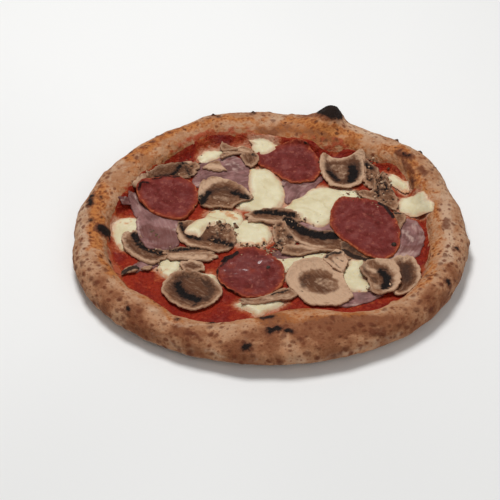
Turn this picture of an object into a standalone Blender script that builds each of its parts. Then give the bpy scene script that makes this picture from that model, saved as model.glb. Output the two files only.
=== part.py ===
"""Primavera pizza: a thin round bread with a puffed, blistered rim, a layer of
tomato sauce, and melted cheese, ham, mushroom and salami laid over each other.

Metres, +Z up. The origin is the middle of the flat underside, and the front is
towards -Y. Toppings are laid from the bottom of the pile to the top: each sheet
sinks until it touches what lies under it.
"""

import math
import random
import zlib

import bmesh
import bpy
import numpy as np
from mathutils import Vector, noise

MM = 0.001

# Bread
PIZZA_WIDTH = 306 * MM  # left to right over the rim
PIZZA_DEPTH = 296 * MM  # front to back over the rim
RIM_WIDTH = 27 * MM
RIM_HEIGHT = 21 * MM
DOUGH = 4.0 * MM  # thickness of the bread inside the rim
RIM_TURNS = 112  # steps round the rim
LUMP_HEIGHT = 1.3 * MM  # how far the uneven skin of the rim stands in or out
LUMP_SIZE = 24 * MM
BLISTER_RISE = 0.85  # share of a blister's height that goes up
BLISTER_LEAN = 0.45  # share that goes outwards, at the outside of the rim

# Sauce
SAUCE = 0.9 * MM  # thickness
SAUCE_CLIMB = 0.5 * MM  # how far the layer runs out past the foot of the rim

# Between a piece and what it lies on
GAP = 0.3 * MM

# Each kind of topping: thickness at the middle and at the edge, how many rounds
# of evening out it gets as it sinks (a stiff slice bridges hollows, a limp one
# follows them), how uneven its outline is, and the height of its folds.
CHEESE = dict(middle=3.0 * MM, edge=0.8 * MM, evening=8, uneven=0.07, folds=0.0)
HAM = dict(middle=1.3 * MM, edge=1.0 * MM, evening=8, uneven=0.07, folds=1.4 * MM)
MUSHROOM = dict(middle=2.3 * MM, edge=1.6 * MM, evening=30, uneven=0.05, folds=0.5 * MM)
SALAMI = dict(middle=1.8 * MM, edge=1.5 * MM, evening=60, uneven=0.012, folds=0.0)

# Outline of the bread: places round the rim, in degrees from +X, where it bulges
# out or is pressed in: (angle, half spread, how far).
OUTLINE_SWELLS = (
    (-152, 22, 7 * MM),
    (-38, 25, 2.5 * MM),
    (15, 14, -3 * MM),
    (32, 12, 2.5 * MM),
    (113, 9, 3 * MM),
    (132, 16, -3 * MM),
    (155, 12, -1.5 * MM),
)
# Where the foot of the rim reaches into the middle, in the same form.
FOOT_SWELLS = (
    (-82, 22, 27 * MM),
    (95, 35, 4 * MM),
    (-138, 14, 4 * MM),
    (74, 17, 12 * MM),
    (155, 12, 4 * MM),
    (-8, 14, 3 * MM),
)
# Where the rim stands higher or lower, in the same form.
HEIGHT_SWELLS = (
    (-82, 30, 4.0 * MM),
    (-145, 26, 2.0 * MM),
    (-30, 20, 2.0 * MM),
    (52, 12, -2.0 * MM),
    (92, 14, -1.0 * MM),
    (140, 20, 1.0 * MM),
)
# Blisters on the rim: (angle, how far across from foot 0 to outside 1, radius, height).
# The first is the tall charred one at the back, which leans outwards.
BLISTERS = (
    (69.5, 0.76, 14 * MM, 15.0 * MM),
    (-70, 0.45, 22 * MM, 2.5 * MM),
    (-100, 0.55, 18 * MM, 2.0 * MM),
    (-35, 0.50, 20 * MM, 2.0 * MM),
    (38, 0.60, 16 * MM, 2.5 * MM),
    (110, 0.50, 18 * MM, 1.5 * MM),
    (170, 0.50, 18 * MM, 1.5 * MM),
    (-160, 0.60, 16 * MM, 1.5 * MM),
)


def clear_scene():
    for old in list(bpy.data.objects):
        bpy.data.objects.remove(old, do_unlink=True)


def plain_material(name, colour, roughness):
    material = bpy.data.materials.new(name)
    material.use_nodes = True
    surface = material.node_tree.nodes["Principled BSDF"]
    surface.inputs["Base Color"].default_value = (*colour, 1.0)
    surface.inputs["Roughness"].default_value = roughness
    surface.inputs["Metallic"].default_value = 0.0
    return material


def add_object(name, mesh, material, collection):
    thing = bpy.data.objects.new(name, mesh)
    collection.objects.link(thing)
    mesh.materials.append(material)
    mesh.shade_smooth()
    mesh.set_sharp_from_angle(angle=math.radians(60))
    return thing


def swell(angle, places):
    """Sum of the bulges at this angle (radians)."""
    total = 0.0
    for middle, spread, reach in places:
        away = (math.degrees(angle) - middle + 180) % 360 - 180
        total += reach * math.exp(-((away / spread) ** 2))
    return total


def outer_radius(angle):
    across = math.cos(angle) / (PIZZA_WIDTH / 2)
    along = math.sin(angle) / (PIZZA_DEPTH / 2)
    return 1 / math.hypot(across, along) + swell(angle, OUTLINE_SWELLS)


def foot_radius(angle):
    return outer_radius(angle) - RIM_WIDTH - swell(angle, FOOT_SWELLS)


def rim_profile(foot, outer):
    """Half section of a plain turned bread, down from the middle of its top,
    over the rim and back along the underside."""
    points = [(0.0, DOUGH)]
    points += [(foot * share, DOUGH) for share in (0.35, 0.65, 0.86)]
    middle = (foot + outer) / 2
    half_width = (outer - foot) / 2
    half_height = RIM_HEIGHT / 2
    for degrees in (205, 176, 152, 128, 104, 80, 56, 32, 8, -18, -46, -72):
        turn = math.radians(degrees)
        radius = middle + half_width * math.cos(turn)
        height = half_height * (1 + math.sin(turn))
        if degrees > 180:
            radius = foot - 2.5 * MM
            height = DOUGH + 0.5 * MM
        elif degrees > 150:
            height = max(height, DOUGH + 2.5 * MM)
        points.append((radius, height))
    points += [(foot * 0.90, 0.0), (foot * 0.5, 0.0), (0.0, 0.0)]
    return points


def turned_mesh(points, steps):
    """The profile as a chain of edges, turned about Z by a Screw modifier."""
    mesh = bpy.data.meshes.new("crust")
    edges = [(i, i + 1) for i in range(len(points) - 1)]
    mesh.from_pydata([(r, 0.0, z) for r, z in points], edges, [])
    helper = bpy.data.objects.new("profile", mesh)
    bpy.context.scene.collection.objects.link(helper)
    screw = helper.modifiers.new("Turn", "SCREW")
    screw.axis = "Z"
    screw.angle = math.tau
    screw.steps = steps
    screw.render_steps = steps
    screw.use_merge_vertices = True
    screw.merge_threshold = 0.00005
    screw.use_normal_calculate = True
    graph = bpy.context.evaluated_depsgraph_get()
    turned = bpy.data.meshes.new_from_object(helper.evaluated_get(graph))
    bpy.data.objects.remove(helper)
    return turned


def blister_height(angle, share, radius):
    """How far the blisters lift the skin of the rim at this place."""
    total = 0.0
    for middle, across, size, height in BLISTERS:
        along = (math.degrees(angle) - middle + 180) % 360 - 180
        around = math.radians(along) * radius
        inward = (share - across) * RIM_WIDTH
        away = math.hypot(around, inward) / size
        if away < 1:
            total += height * (1 - away * away)
    return total


def shape_bread(mesh, plain_foot, plain_outer):
    """Gives the turned bread its uneven outline, rim and blisters."""
    for vertex in mesh.vertices:
        x, y, z = vertex.co
        radius = math.hypot(x, y)
        if radius < 1e-6:
            continue
        angle = math.atan2(y, x)
        foot = foot_radius(angle)
        outer = outer_radius(angle)
        share = (radius - plain_foot) / (plain_outer - plain_foot)
        if share < 0:
            new_radius = radius * foot / plain_foot
        else:
            new_radius = foot + share * (outer - foot)
        if z > DOUGH:
            tall = RIM_HEIGHT + swell(angle, HEIGHT_SWELLS)
            z = DOUGH + (z - DOUGH) * (tall - DOUGH) / (RIM_HEIGHT - DOUGH)
            standing = min(1.0, (z - DOUGH) / (0.4 * RIM_HEIGHT))
            place = Vector((x, y, z)) / LUMP_SIZE
            lump = noise.noise(place) * LUMP_HEIGHT * standing
            lift = blister_height(angle, share, radius) * standing
            z += lump + lift * BLISTER_RISE
            new_radius += lump * (share - 0.5) * 2 + lift * BLISTER_LEAN * share
        vertex.co = (
            new_radius * math.cos(angle),
            new_radius * math.sin(angle),
            z,
        )


def centre_on_origin(mesh):
    points = np.empty(len(mesh.vertices) * 3, np.float32)
    mesh.vertices.foreach_get("co", points)
    points = points.reshape(-1, 3)
    middle = (points.min(0) + points.max(0)) / 2
    for vertex in mesh.vertices:
        vertex.co.x -= middle[0]
        vertex.co.y -= middle[1]


def make_crust(material, collection):
    plain_outer = PIZZA_WIDTH / 2
    plain_foot = plain_outer - RIM_WIDTH
    mesh = turned_mesh(rim_profile(plain_foot, plain_outer), RIM_TURNS)
    shape_bread(mesh, plain_foot, plain_outer)
    centre_on_origin(mesh)
    return add_object("crust", mesh, material, collection)


class Pile:
    """Heights of everything laid so far, in square cells seen from above."""

    CELL = 0.6 * MM
    HALF = 166 * MM

    def __init__(self):
        count = int(2 * self.HALF / self.CELL) + 1
        self.heights = np.zeros((count, count))

    def cells(self, corners, margin):
        """Cells in a triangle widened by the margin: their rows, their columns and
        the share of each corner in each cell."""
        low = np.floor((corners.min(0) - margin + self.HALF) / self.CELL).astype(int)
        high = np.ceil((corners.max(0) + margin + self.HALF) / self.CELL).astype(int)
        columns, rows = np.meshgrid(
            np.arange(low[0], high[0] + 1), np.arange(low[1], high[1] + 1)
        )
        x = columns.ravel() * self.CELL - self.HALF
        y = rows.ravel() * self.CELL - self.HALF
        (ax, ay), (bx, by), (cx, cy) = corners
        area = (bx - ax) * (cy - ay) - (cx - ax) * (by - ay)
        if abs(area) < 1e-12:
            empty = np.zeros(0, int)
            return empty, empty, np.zeros((0, 3))
        at_b = ((x - ax) * (cy - ay) - (cx - ax) * (y - ay)) / area
        at_c = ((bx - ax) * (y - ay) - (x - ax) * (by - ay)) / area
        shares = np.stack([1 - at_b - at_c, at_b, at_c], axis=1)
        longest = max(math.dist(corners[i], corners[i - 1]) for i in range(3))
        slack = margin * longest / abs(area)
        inside = (shares >= -slack).all(axis=1)
        shares = np.clip(shares[inside], 0, 1)
        shares /= shares.sum(axis=1, keepdims=True)
        return rows.ravel()[inside], columns.ravel()[inside], shares

    def cover(self, mesh):
        """Raises the cells under this mesh to its upper surface."""
        mesh.calc_loop_triangles()
        for triangle in mesh.loop_triangles:
            if triangle.normal.z <= 0:
                continue
            corners = np.array([mesh.vertices[i].co for i in triangle.vertices])
            rows, columns, shares = self.cells(corners[:, :2], 0.2 * self.CELL)
            heights = shares @ corners[:, 2]
            np.maximum.at(self.heights, (rows, columns), heights)

    def widened(self):
        """Each cell at the height of its highest neighbour, so that a sheet also
        clears the steep side of a piece."""
        padded = np.pad(self.heights, 1, mode="edge")
        count = len(self.heights)
        shifts = [
            padded[i : i + count, j : j + count] for i in range(3) for j in range(3)
        ]
        return np.max(shifts, axis=0)

    def settle(self, places, faces, evening):
        """Heights of a sheet's underside, as it rests on the pile."""
        support = self.widened() + GAP
        corner_rows, share_rows, floor_rows = [], [], []
        for face in faces:
            rows, columns, shares = self.cells(places[face], 0.6 * self.CELL)
            corner_rows.append(np.repeat([face], len(rows), axis=0))
            share_rows.append(shares)
            floor_rows.append(support[rows, columns])
        corners = np.concatenate(corner_rows)
        shares = np.concatenate(share_rows)
        floor = np.concatenate(floor_rows)
        pull = shares / (shares**2).sum(axis=1, keepdims=True)

        links = np.zeros((len(places), len(places)))
        for face in faces:
            for one, other in zip(face, np.roll(face, 1)):
                links[one, other] = links[other, one] = 1
        links /= links.sum(axis=1, keepdims=True)

        cells = np.round((places + self.HALF) / self.CELL).astype(int)
        heights = support[cells[:, 1], cells[:, 0]].copy()

        def lift_clear(rounds):
            for _ in range(rounds):
                short = floor - (heights[corners] * shares).sum(axis=1)
                if short.max() <= 0:
                    return 0.0
                rise = np.zeros(len(places))
                low = short > 0
                np.maximum.at(rise, corners[low], short[low, None] * pull[low])
                heights[:] += rise
            return max(0.0, short.max())

        for _ in range(evening):
            heights[:] += 0.6 * (links @ heights - heights)
            lift_clear(4)
        return heights + lift_clear(60)


def disc_sheet(points, ring_shares):
    """A flat round sheet of radius 1: a filled circle, inset once for each ring,
    with its innermost face split to the middle."""
    sheet = bmesh.new()
    bmesh.ops.create_circle(sheet, cap_ends=True, segments=points, radius=1.0)
    inner = sheet.faces[:]
    edge_share = math.cos(math.pi / points)
    reached = 1.0
    for share in ring_shares:
        bmesh.ops.inset_individual(
            sheet, faces=inner, thickness=(reached - share) * edge_share
        )
        reached = share
    bmesh.ops.poke(sheet, faces=inner)
    bmesh.ops.triangulate(sheet, faces=sheet.faces[:])
    bmesh.ops.recalc_face_normals(sheet, faces=sheet.faces[:])
    sheet.verts.index_update()
    return sheet


class Outline:
    """Turns a place on the unit disc into a place on the pizza."""

    def __init__(self, name, kind, at, size, turn, bend, pulls, square):
        self.draws = random.Random(zlib.crc32(name.encode()))
        self.at = at
        self.half = (size[0] / 2, size[1] / 2)
        self.turn = math.radians(turn)
        self.bend = bend
        self.pulls = pulls
        self.square = square
        self.lobes = [
            (count, kind["uneven"] * self.draws.uniform(0.4, 1) / math.sqrt(count - 1),
             self.draws.uniform(0, math.tau))
            for count in (2, 3, 5, 7)
        ]

    def stretch(self, angle):
        """Reach of the outline at this angle, next to the plain oval's."""
        reach = 1 + sum(
            much * math.sin(count * angle + start) for count, much, start in self.lobes
        )
        for middle, spread, much in self.pulls:
            away = (math.degrees(angle) - middle + 180) % 360 - 180
            reach += much * math.exp(-((away / spread) ** 2))
        flat = abs(math.cos(angle)) ** self.square + abs(math.sin(angle)) ** self.square
        return reach / flat ** (1 / self.square)

    def place(self, x, y):
        reach = self.stretch(math.atan2(y, x))
        along = x * reach * self.half[0]
        across = y * reach * self.half[1]
        across += self.bend * (along * along / self.half[0] - self.half[0] / 3)
        cos_turn = math.cos(self.turn)
        sin_turn = math.sin(self.turn)
        return (
            self.at[0] + along * cos_turn - across * sin_turn,
            self.at[1] + along * sin_turn + across * cos_turn,
        )


class Table:
    """Holds the bread, the pile on it and the materials, and lays each piece."""

    def __init__(self):
        self.collection = bpy.data.collections.new("primavera_pizza")
        bpy.context.scene.collection.children.link(self.collection)
        self.pile = Pile()
        self.materials = {}

    def material(self, name, colour, roughness):
        self.materials[name] = plain_material(name, colour, roughness)
        return self.materials[name]

    def finish_sheet(self, name, sheet, upper, material):
        """Closes the underside with its upper face at these heights."""
        count = len(sheet.verts)
        grown = bmesh.ops.extrude_face_region(sheet, geom=sheet.faces[:])
        tops = [part for part in grown["geom"] if isinstance(part, bmesh.types.BMVert)]
        sheet.verts.index_update()
        bottoms = {(v.co.x, v.co.y): i for i, v in enumerate(sheet.verts) if i < count}
        for vertex in tops:
            vertex.co.z = upper[bottoms[(vertex.co.x, vertex.co.y)]]
        bmesh.ops.recalc_face_normals(sheet, faces=sheet.faces[:])
        mesh = bpy.data.meshes.new(name)
        sheet.to_mesh(mesh)
        sheet.free()
        self.pile.cover(mesh)
        return add_object(name, mesh, material, self.collection)

    def lay(self, name, kind, at, size, turn=0, bend=0.0, pulls=(), square=2.0,
            folds=0, cup=0.0, hollow=None):
        """Lays one topping. at and size are in millimetres, turn in degrees.
        folds counts the waves across its length, cup lifts its edge, and hollow
        = (from, to, depth) sinks a ring of its upper face."""
        size = (size[0] * MM, size[1] * MM)
        outline = Outline(name, kind, (at[0] * MM, at[1] * MM), size, turn, bend,
                          pulls, square)
        around = math.pi * (size[0] + size[1]) / 2
        points = max(10, min(22, round(around / (6.6 * MM))))
        rings = (0.72, 0.38) if min(size) > 20 * MM else (0.55,)
        sheet = disc_sheet(points, rings)
        flat = np.array([(v.co.x, v.co.y) for v in sheet.verts])
        places = np.array([outline.place(x, y) for x, y in flat])
        faces = np.array([[v.index for v in face.verts] for face in sheet.faces])
        lower = self.pile.settle(places, faces, kind["evening"])

        share = np.hypot(flat[:, 0], flat[:, 1])
        wave_start = outline.draws.uniform(0, math.tau)
        waves = np.sin(flat[:, 0] * folds * math.pi + flat[:, 1] + wave_start)
        lower = lower + kind["folds"] * (waves + 1) / 2 * (folds > 0)
        lower = lower + cup * MM * share**2
        dome = np.sqrt(np.clip(1 - share**2, 0, 1))
        thick = kind["edge"] + (kind["middle"] - kind["edge"]) * dome
        if hollow:
            start, end, depth = hollow
            thick = thick - depth * MM * ((share > start) & (share < end))
        for vertex, (x, y), height in zip(sheet.verts, places, lower):
            vertex.co = (x, y, height)
        material = self.materials[name.split("_")[0]]
        return self.finish_sheet(name, sheet, lower + thick, material)


def make_sauce(table):
    """A thin wavy layer over the middle of the bread and up the foot of the rim."""
    sheet = disc_sheet(44, (0.93, 0.80, 0.55, 0.28))
    flat = np.array([(v.co.x, v.co.y) for v in sheet.verts])
    draws = random.Random(7)
    starts = [draws.uniform(0, math.tau) for _ in range(2)]
    places = []
    for x, y in flat:
        angle = math.atan2(y, x)
        reach = foot_radius(angle) + SAUCE_CLIMB
        reach += 1.5 * MM * math.sin(9 * angle + starts[0])
        reach += 1.2 * MM * math.sin(14 * angle + starts[1])
        places.append((x * reach, y * reach))
    places = np.array(places)
    faces = np.array([[v.index for v in face.verts] for face in sheet.faces])
    lower = table.pile.settle(places, faces, 2)
    share = np.hypot(flat[:, 0], flat[:, 1])
    thick = SAUCE * np.where(share > 0.97, 0.6, 1.0)
    for vertex, (x, y), height in zip(sheet.verts, places, lower):
        vertex.co = (x, y, height)
    table.finish_sheet("tomato_sauce", sheet, lower + thick, table.materials["tomato"])


def lay_toppings(table):
    lay = table.lay
    # Ham and salami that lie straight on the sauce
    lay("ham_right", HAM, (102, -17), (56, 30), 85, folds=3)
    lay("ham_centre", HAM, (27, 52), (42, 32), 41, folds=2)
    lay("ham_centre_strip", HAM, (37, 4), (30, 14), -9, folds=2)
    lay("ham_front_strip", HAM, (19, -28), (34, 15), 9, folds=2)
    lay("ham_front_right", HAM, (66, -73), (44, 22), 21, folds=3)
    lay("ham_left_scrap", HAM, (-96, -44), (17, 12), -40, folds=1)
    lay("ham_back", HAM, (-39, 73), (52, 44), -8, folds=3, square=2.6)
    lay("salami_back", SALAMI, (14, 77), (54, 55), 20, cup=0.8)

    # Melted cheese
    lay("mozzarella_back", CHEESE, (-7, 103), (28, 20), -28, pulls=((0, 25, 0.25),))
    lay("mozzarella_back_left", CHEESE, (-49, 88), (24, 19), 27)
    lay("mozzarella_back_drop", CHEESE, (-24, 98), (12, 10), -24)
    lay("mozzarella_centre_back", CHEESE, (-5, 47), (60, 38), -88,
        pulls=((-140, 35, -0.15), (60, 30, 0.08)))
    lay("mozzarella_centre_right", CHEESE, (41, 32), (60, 44), 28,
        pulls=((172, 22, 0.30), (60, 30, 0.10)))
    lay("mozzarella_right_strip", CHEESE, (99, 56), (34, 20), -55)
    lay("mozzarella_right", CHEESE, (114, 25), (34, 27), -70)
    lay("mozzarella_left", CHEESE, (-111, -9), (40, 26), -85)
    lay("mozzarella_centre", CHEESE, (-14, -1), (42, 32), -20)
    lay("mozzarella_browned", CHEESE, (-38, 17), (38, 20), -4)
    lay("mozzarella_front_left", CHEESE, (-77, -42), (33, 22), -87)
    lay("mozzarella_front_strip", CHEESE, (-53, -52), (34, 12), -33)
    lay("mozzarella_centre_front", CHEESE, (24, -34), (52, 19), 14,
        pulls=((185, 30, 0.12),))
    lay("mozzarella_front", CHEESE, (-9, -90), (40, 17), 2)

    # Mushroom slices on the sauce and the cheese
    lay("mushroom_arch", MUSHROOM, (-84, 65), (58, 21), 22, bend=-0.35)
    lay("mushroom_left", MUSHROOM, (-96, -24), (46, 24), -43, bend=-0.30,
        hollow=(0.3, 0.6, 0.7))
    lay("mushroom_edge_upper", MUSHROOM, (-64, -23), (36, 9), 6)
    lay("mushroom_edge_lower", MUSHROOM, (-55, -32), (46, 12), 2)
    lay("mushroom_long_back", MUSHROOM, (3, 17), (46, 15), 2)
    lay("mushroom_long_front", MUSHROOM, (37, -7), (60, 27), -25, bend=0.22,
        hollow=(0.3, 0.6, 0.7))
    lay("mushroom_torn", MUSHROOM, (6, -15), (40, 13), -84)
    lay("mushroom_thin", MUSHROOM, (24, -22), (32, 9), -13)
    lay("mushroom_charred", MUSHROOM, (68, -29), (30, 15), -26)
    lay("mushroom_right_chip", MUSHROOM, (101, 7), (26, 11), 88)
    lay("mushroom_right_outer", MUSHROOM, (101, -60), (44, 24), 80,
        hollow=(0.2, 0.6, 0.7))
    lay("mushroom_front_thin", MUSHROOM, (3, -77), (42, 12), 14)
    lay("mushroom_curl", MUSHROOM, (-26, 90), (38, 10), 4, bend=-0.30)
    lay("mushroom_curl_cap", MUSHROOM, (-16, 81), (22, 15), -70)
    lay("mushroom_back_chip", MUSHROOM, (-36, 98), (18, 12), -61)
    lay("mushroom_ham_chip", MUSHROOM, (-44, 73), (20, 10), -12, bend=-0.3)
    lay("mushroom_umbrella", MUSHROOM, (-37, 44), (47, 36), 0,
        pulls=((-90, 24, 0.14), (-145, 20, -0.14), (-35, 20, -0.14)),
        hollow=(0.3, 0.6, 0.7))

    # Ham over the left mushroom, then the upper mushroom slices
    lay("ham_left_fold", HAM, (-109, 30), (16, 12), -20, folds=1)
    lay("ham_left_strip", HAM, (-101, 21), (48, 16), -71, folds=2)
    lay("ham_left", HAM, (-86, -3), (48, 37), -85, folds=3, square=2.5)
    lay("mushroom_centre_left", MUSHROOM, (-50, -10), (50, 33), -15,
        pulls=((-60, 25, -0.08),), hollow=(0.3, 0.6, 0.7))
    lay("mozzarella_centre_left", CHEESE, (-55, 4), (31, 20), 20)
    lay("mozzarella_front_right", CHEESE, (63, -51), (39, 28), 85)
    lay("mushroom_small_oval", MUSHROOM, (-59, -43), (19, 14), -2)
    lay("mushroom_cup", MUSHROOM, (-59, -74), (52, 47), -38, cup=1.5,
        hollow=(0.3, 0.6, 0.8))
    lay("mushroom_round", MUSHROOM, (35, -67), (56, 50), -58, cup=1.0,
        hollow=(-1, 0.6, 0.6))
    lay("mushroom_folded_flap", MUSHROOM, (51, -43), (24, 16), 78)
    lay("mushroom_u_slice", MUSHROOM, (59, 68), (40, 42), 0, cup=1.5,
        pulls=((90, 30, -0.10), (48, 16, 0.12), (132, 16, 0.12)),
        hollow=(0.3, 0.6, 0.8))
    lay("mushroom_bit_right", MUSHROOM, (82, 63), (30, 12), -78)
    lay("mushroom_crumbled", MUSHROOM, (92, 43), (40, 24), 88)
    lay("mushroom_right_umbrella", MUSHROOM, (82, -58), (40, 32), -72, cup=1.0,
        hollow=(0.3, 0.6, 0.8))
    lay("mushroom_dark_chip", MUSHROOM, (-106, -52), (16, 8), 39)
    lay("mushroom_dark_bit", MUSHROOM, (-95, -47), (8, 6), 0)

    # Salami on top
    lay("salami_left", SALAMI, (-81, 31), (56, 47), -50, cup=1.0,
        pulls=((170, 14, -0.10),))
    lay("salami_right", SALAMI, (73, -3), (74, 52), -58, cup=1.5)
    lay("salami_front", SALAMI, (-17, -54), (54, 53), -84, cup=1.0, square=2.4)


def main():
    clear_scene()
    table = Table()
    crust_look = table.material("crust", (0.56, 0.36, 0.20), 0.75)
    table.material("tomato", (0.24, 0.020, 0.008), 0.35)
    table.material("mozzarella", (0.72, 0.66, 0.45), 0.40)
    table.material("ham", (0.42, 0.20, 0.20), 0.50)
    table.material("salami", (0.16, 0.030, 0.025), 0.35)
    table.material("mushroom", (0.38, 0.26, 0.17), 0.60)
    crust = make_crust(crust_look, table.collection)
    table.pile.cover(crust.data)
    make_sauce(table)
    lay_toppings(table)


main()
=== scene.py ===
"""Looks of the primavera pizza: a blistered bread rim, tomato sauce, melted mozzarella,
cooked ham, roasted mushroom slices and salami, baked together.

The bread is a finer copy of its solid, with lumps and blisters. The sauce and each
topping are a sheet in two layers, laid in the outline at which it is seen and draped
over all that is below it, from the bottom up. Pieces are painted with masks that their
materials read. Outlines and marks are given by the pixels of the photograph at
which they show, and cast from the camera on to what bears them. Places are metres, as
in the solids; while a piece is shaped its points are held in millimetres.
"""

import math
import random
import zlib
from collections import namedtuple

import bpy
import numpy as np
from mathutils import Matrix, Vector
from mathutils.bvhtree import BVHTree
from mathutils.kdtree import KDTree


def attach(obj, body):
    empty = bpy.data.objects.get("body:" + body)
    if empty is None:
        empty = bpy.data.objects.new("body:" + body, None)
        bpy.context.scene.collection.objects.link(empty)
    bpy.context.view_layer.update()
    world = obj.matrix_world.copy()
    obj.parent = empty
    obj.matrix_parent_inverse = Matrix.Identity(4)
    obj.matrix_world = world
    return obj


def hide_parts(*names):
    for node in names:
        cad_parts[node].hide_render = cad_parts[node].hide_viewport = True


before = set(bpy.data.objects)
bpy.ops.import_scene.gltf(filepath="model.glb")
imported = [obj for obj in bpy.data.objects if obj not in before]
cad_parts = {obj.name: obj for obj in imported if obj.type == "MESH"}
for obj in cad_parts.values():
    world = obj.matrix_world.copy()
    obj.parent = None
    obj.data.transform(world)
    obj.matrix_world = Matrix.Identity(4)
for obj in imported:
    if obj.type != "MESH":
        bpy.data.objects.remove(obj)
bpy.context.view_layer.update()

MM = 0.001
TINY = 1e-9

# Camera: a long lens that looks down at the pizza from its front.
LENS = 129.6
SENSOR = 36.0
CAMERA_TURN = math.radians(48.5)
CAMERA_AT = Vector((-0.0161, -1.0629, 0.9303))
PHOTO_SIDE = 500

# Masks are painted as the distance in millimetres to their own edge, up to this far.
MASK_REACH = 4.0


def rgb(red, green, blue):
    """A colour of a paint chart, 0 to 255, as the light it sends back."""
    shares = [part / 255 for part in (red, green, blue)]
    return (*(s / 12.92 if s < 0.04 else ((s + 0.055) / 1.055) ** 2.4 for s in shares), 1.0)


# ---------------------------------------------------------------- uneven numbers


# Odd factors with no pattern in their bits, which scramble whole numbers.
AXIS_FACTORS = (0x9E3779B1, 0x85EBCA77, 0xC2B2AE3D)
SEED_FACTOR = 0x27D4EB2F
SCRAMBLES = ((15, 0x2C1B3C6D), (12, 0x297A2D39), (15, 1))
OCTAVE_STEP = 31  # from the seed of one octave of noise to that of the next


def lattice(cells, seed):
    """A random number from 0 to 1 for each whole-numbered place."""
    mixed = np.full(len(cells), (seed * SEED_FACTOR) & 0xFFFFFFFF, np.uint32)
    for axis, factor in enumerate(AXIS_FACTORS):
        mixed ^= cells[:, axis].astype(np.int64).astype(np.uint32) * np.uint32(factor)
    for shift, factor in SCRAMBLES:
        mixed ^= mixed >> np.uint32(shift)
        mixed = mixed * np.uint32(factor)
    return mixed / 2.0**32


def noise(points, size, seed=0, octaves=1):
    """Smooth uneven numbers, about -1 to 1, with lumps of this size."""
    total = np.zeros(len(points))
    weight = 1.0
    for octave in range(octaves):
        place = points * 2.0**octave / size
        cells = np.floor(place)
        part = place - cells
        part = part**3 * (part * (part * 6 - 15) + 10)
        for corner in range(8):
            step = np.array([corner & 1, corner >> 1 & 1, corner >> 2 & 1])
            near = np.where(step, part, 1 - part).prod(axis=1)
            total += weight * near * (lattice(cells + step, seed + OCTAVE_STEP * octave) * 2 - 1)
        weight *= 0.5
    return total


def strewn(points, size, seed=0):
    """Distance to the nearest of places strewn one to a cell of this size, and a
    random number for that place."""
    cells = np.floor(points / size)
    nearest = np.full(len(points), np.inf)
    number = np.zeros(len(points))
    for step in np.ndindex(3, 3, 3):
        cell = cells + step - 1
        shifts = np.stack([lattice(cell, seed + axis) for axis in (1, 2, 3)], axis=1)
        away = np.linalg.norm(points - (cell + shifts) * size, axis=1)
        closer = away < nearest
        nearest[closer] = away[closer]
        number[closer] = lattice(cell[closer], seed + 4)
    return nearest, number


def ramp(values, low, high):
    """0 below low, 1 above high, and smooth in between."""
    share = np.clip((values - low) / (high - low), 0, 1)
    return share * share * (3 - 2 * share)


def line_distance(points, line):
    """Distance from each point to a line through these places."""
    if len(line) == 1:
        return np.linalg.norm(points - line[0], axis=1)
    nearest = np.full(len(points), np.inf)
    for start, end in zip(line[:-1], line[1:]):
        along = end - start
        share = np.clip((points - start) @ along / max(along @ along, TINY), 0, 1)
        away = np.linalg.norm(points - start - share[:, None] * along, axis=1)
        nearest = np.minimum(nearest, away)
    return nearest


# ------------------------------------------------------------------------ pieces


def sight(pixel):
    """Direction from the camera through a pixel of the photograph."""
    forward = Vector((0, math.sin(CAMERA_TURN), -math.cos(CAMERA_TURN)))
    upward = Vector((0, math.cos(CAMERA_TURN), math.sin(CAMERA_TURN)))
    focal = PHOTO_SIDE * LENS / SENSOR
    across = (pixel[0] - PHOTO_SIDE / 2) / focal
    down = (pixel[1] - PHOTO_SIDE / 2) / focal
    return (forward + Vector((across, 0, 0)) - upward * down).normalized()


def pick(thing):
    """Selects this one object and makes it the active one."""
    bpy.ops.object.select_all(action="DESELECT")
    thing.select_set(True)
    bpy.context.view_layer.objects.active = thing


def linked(name, mesh):
    """A new object with this mesh, in the scene."""
    thing = bpy.data.objects.new(name, mesh)
    bpy.context.scene.collection.objects.link(thing)
    return thing


def surfaced(thing, material):
    """Gives a piece its material, smooth shading and body."""
    thing.data.materials.clear()
    thing.data.materials.append(material)
    pick(thing)
    bpy.ops.object.shade_smooth()
    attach(thing, "root")


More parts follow.
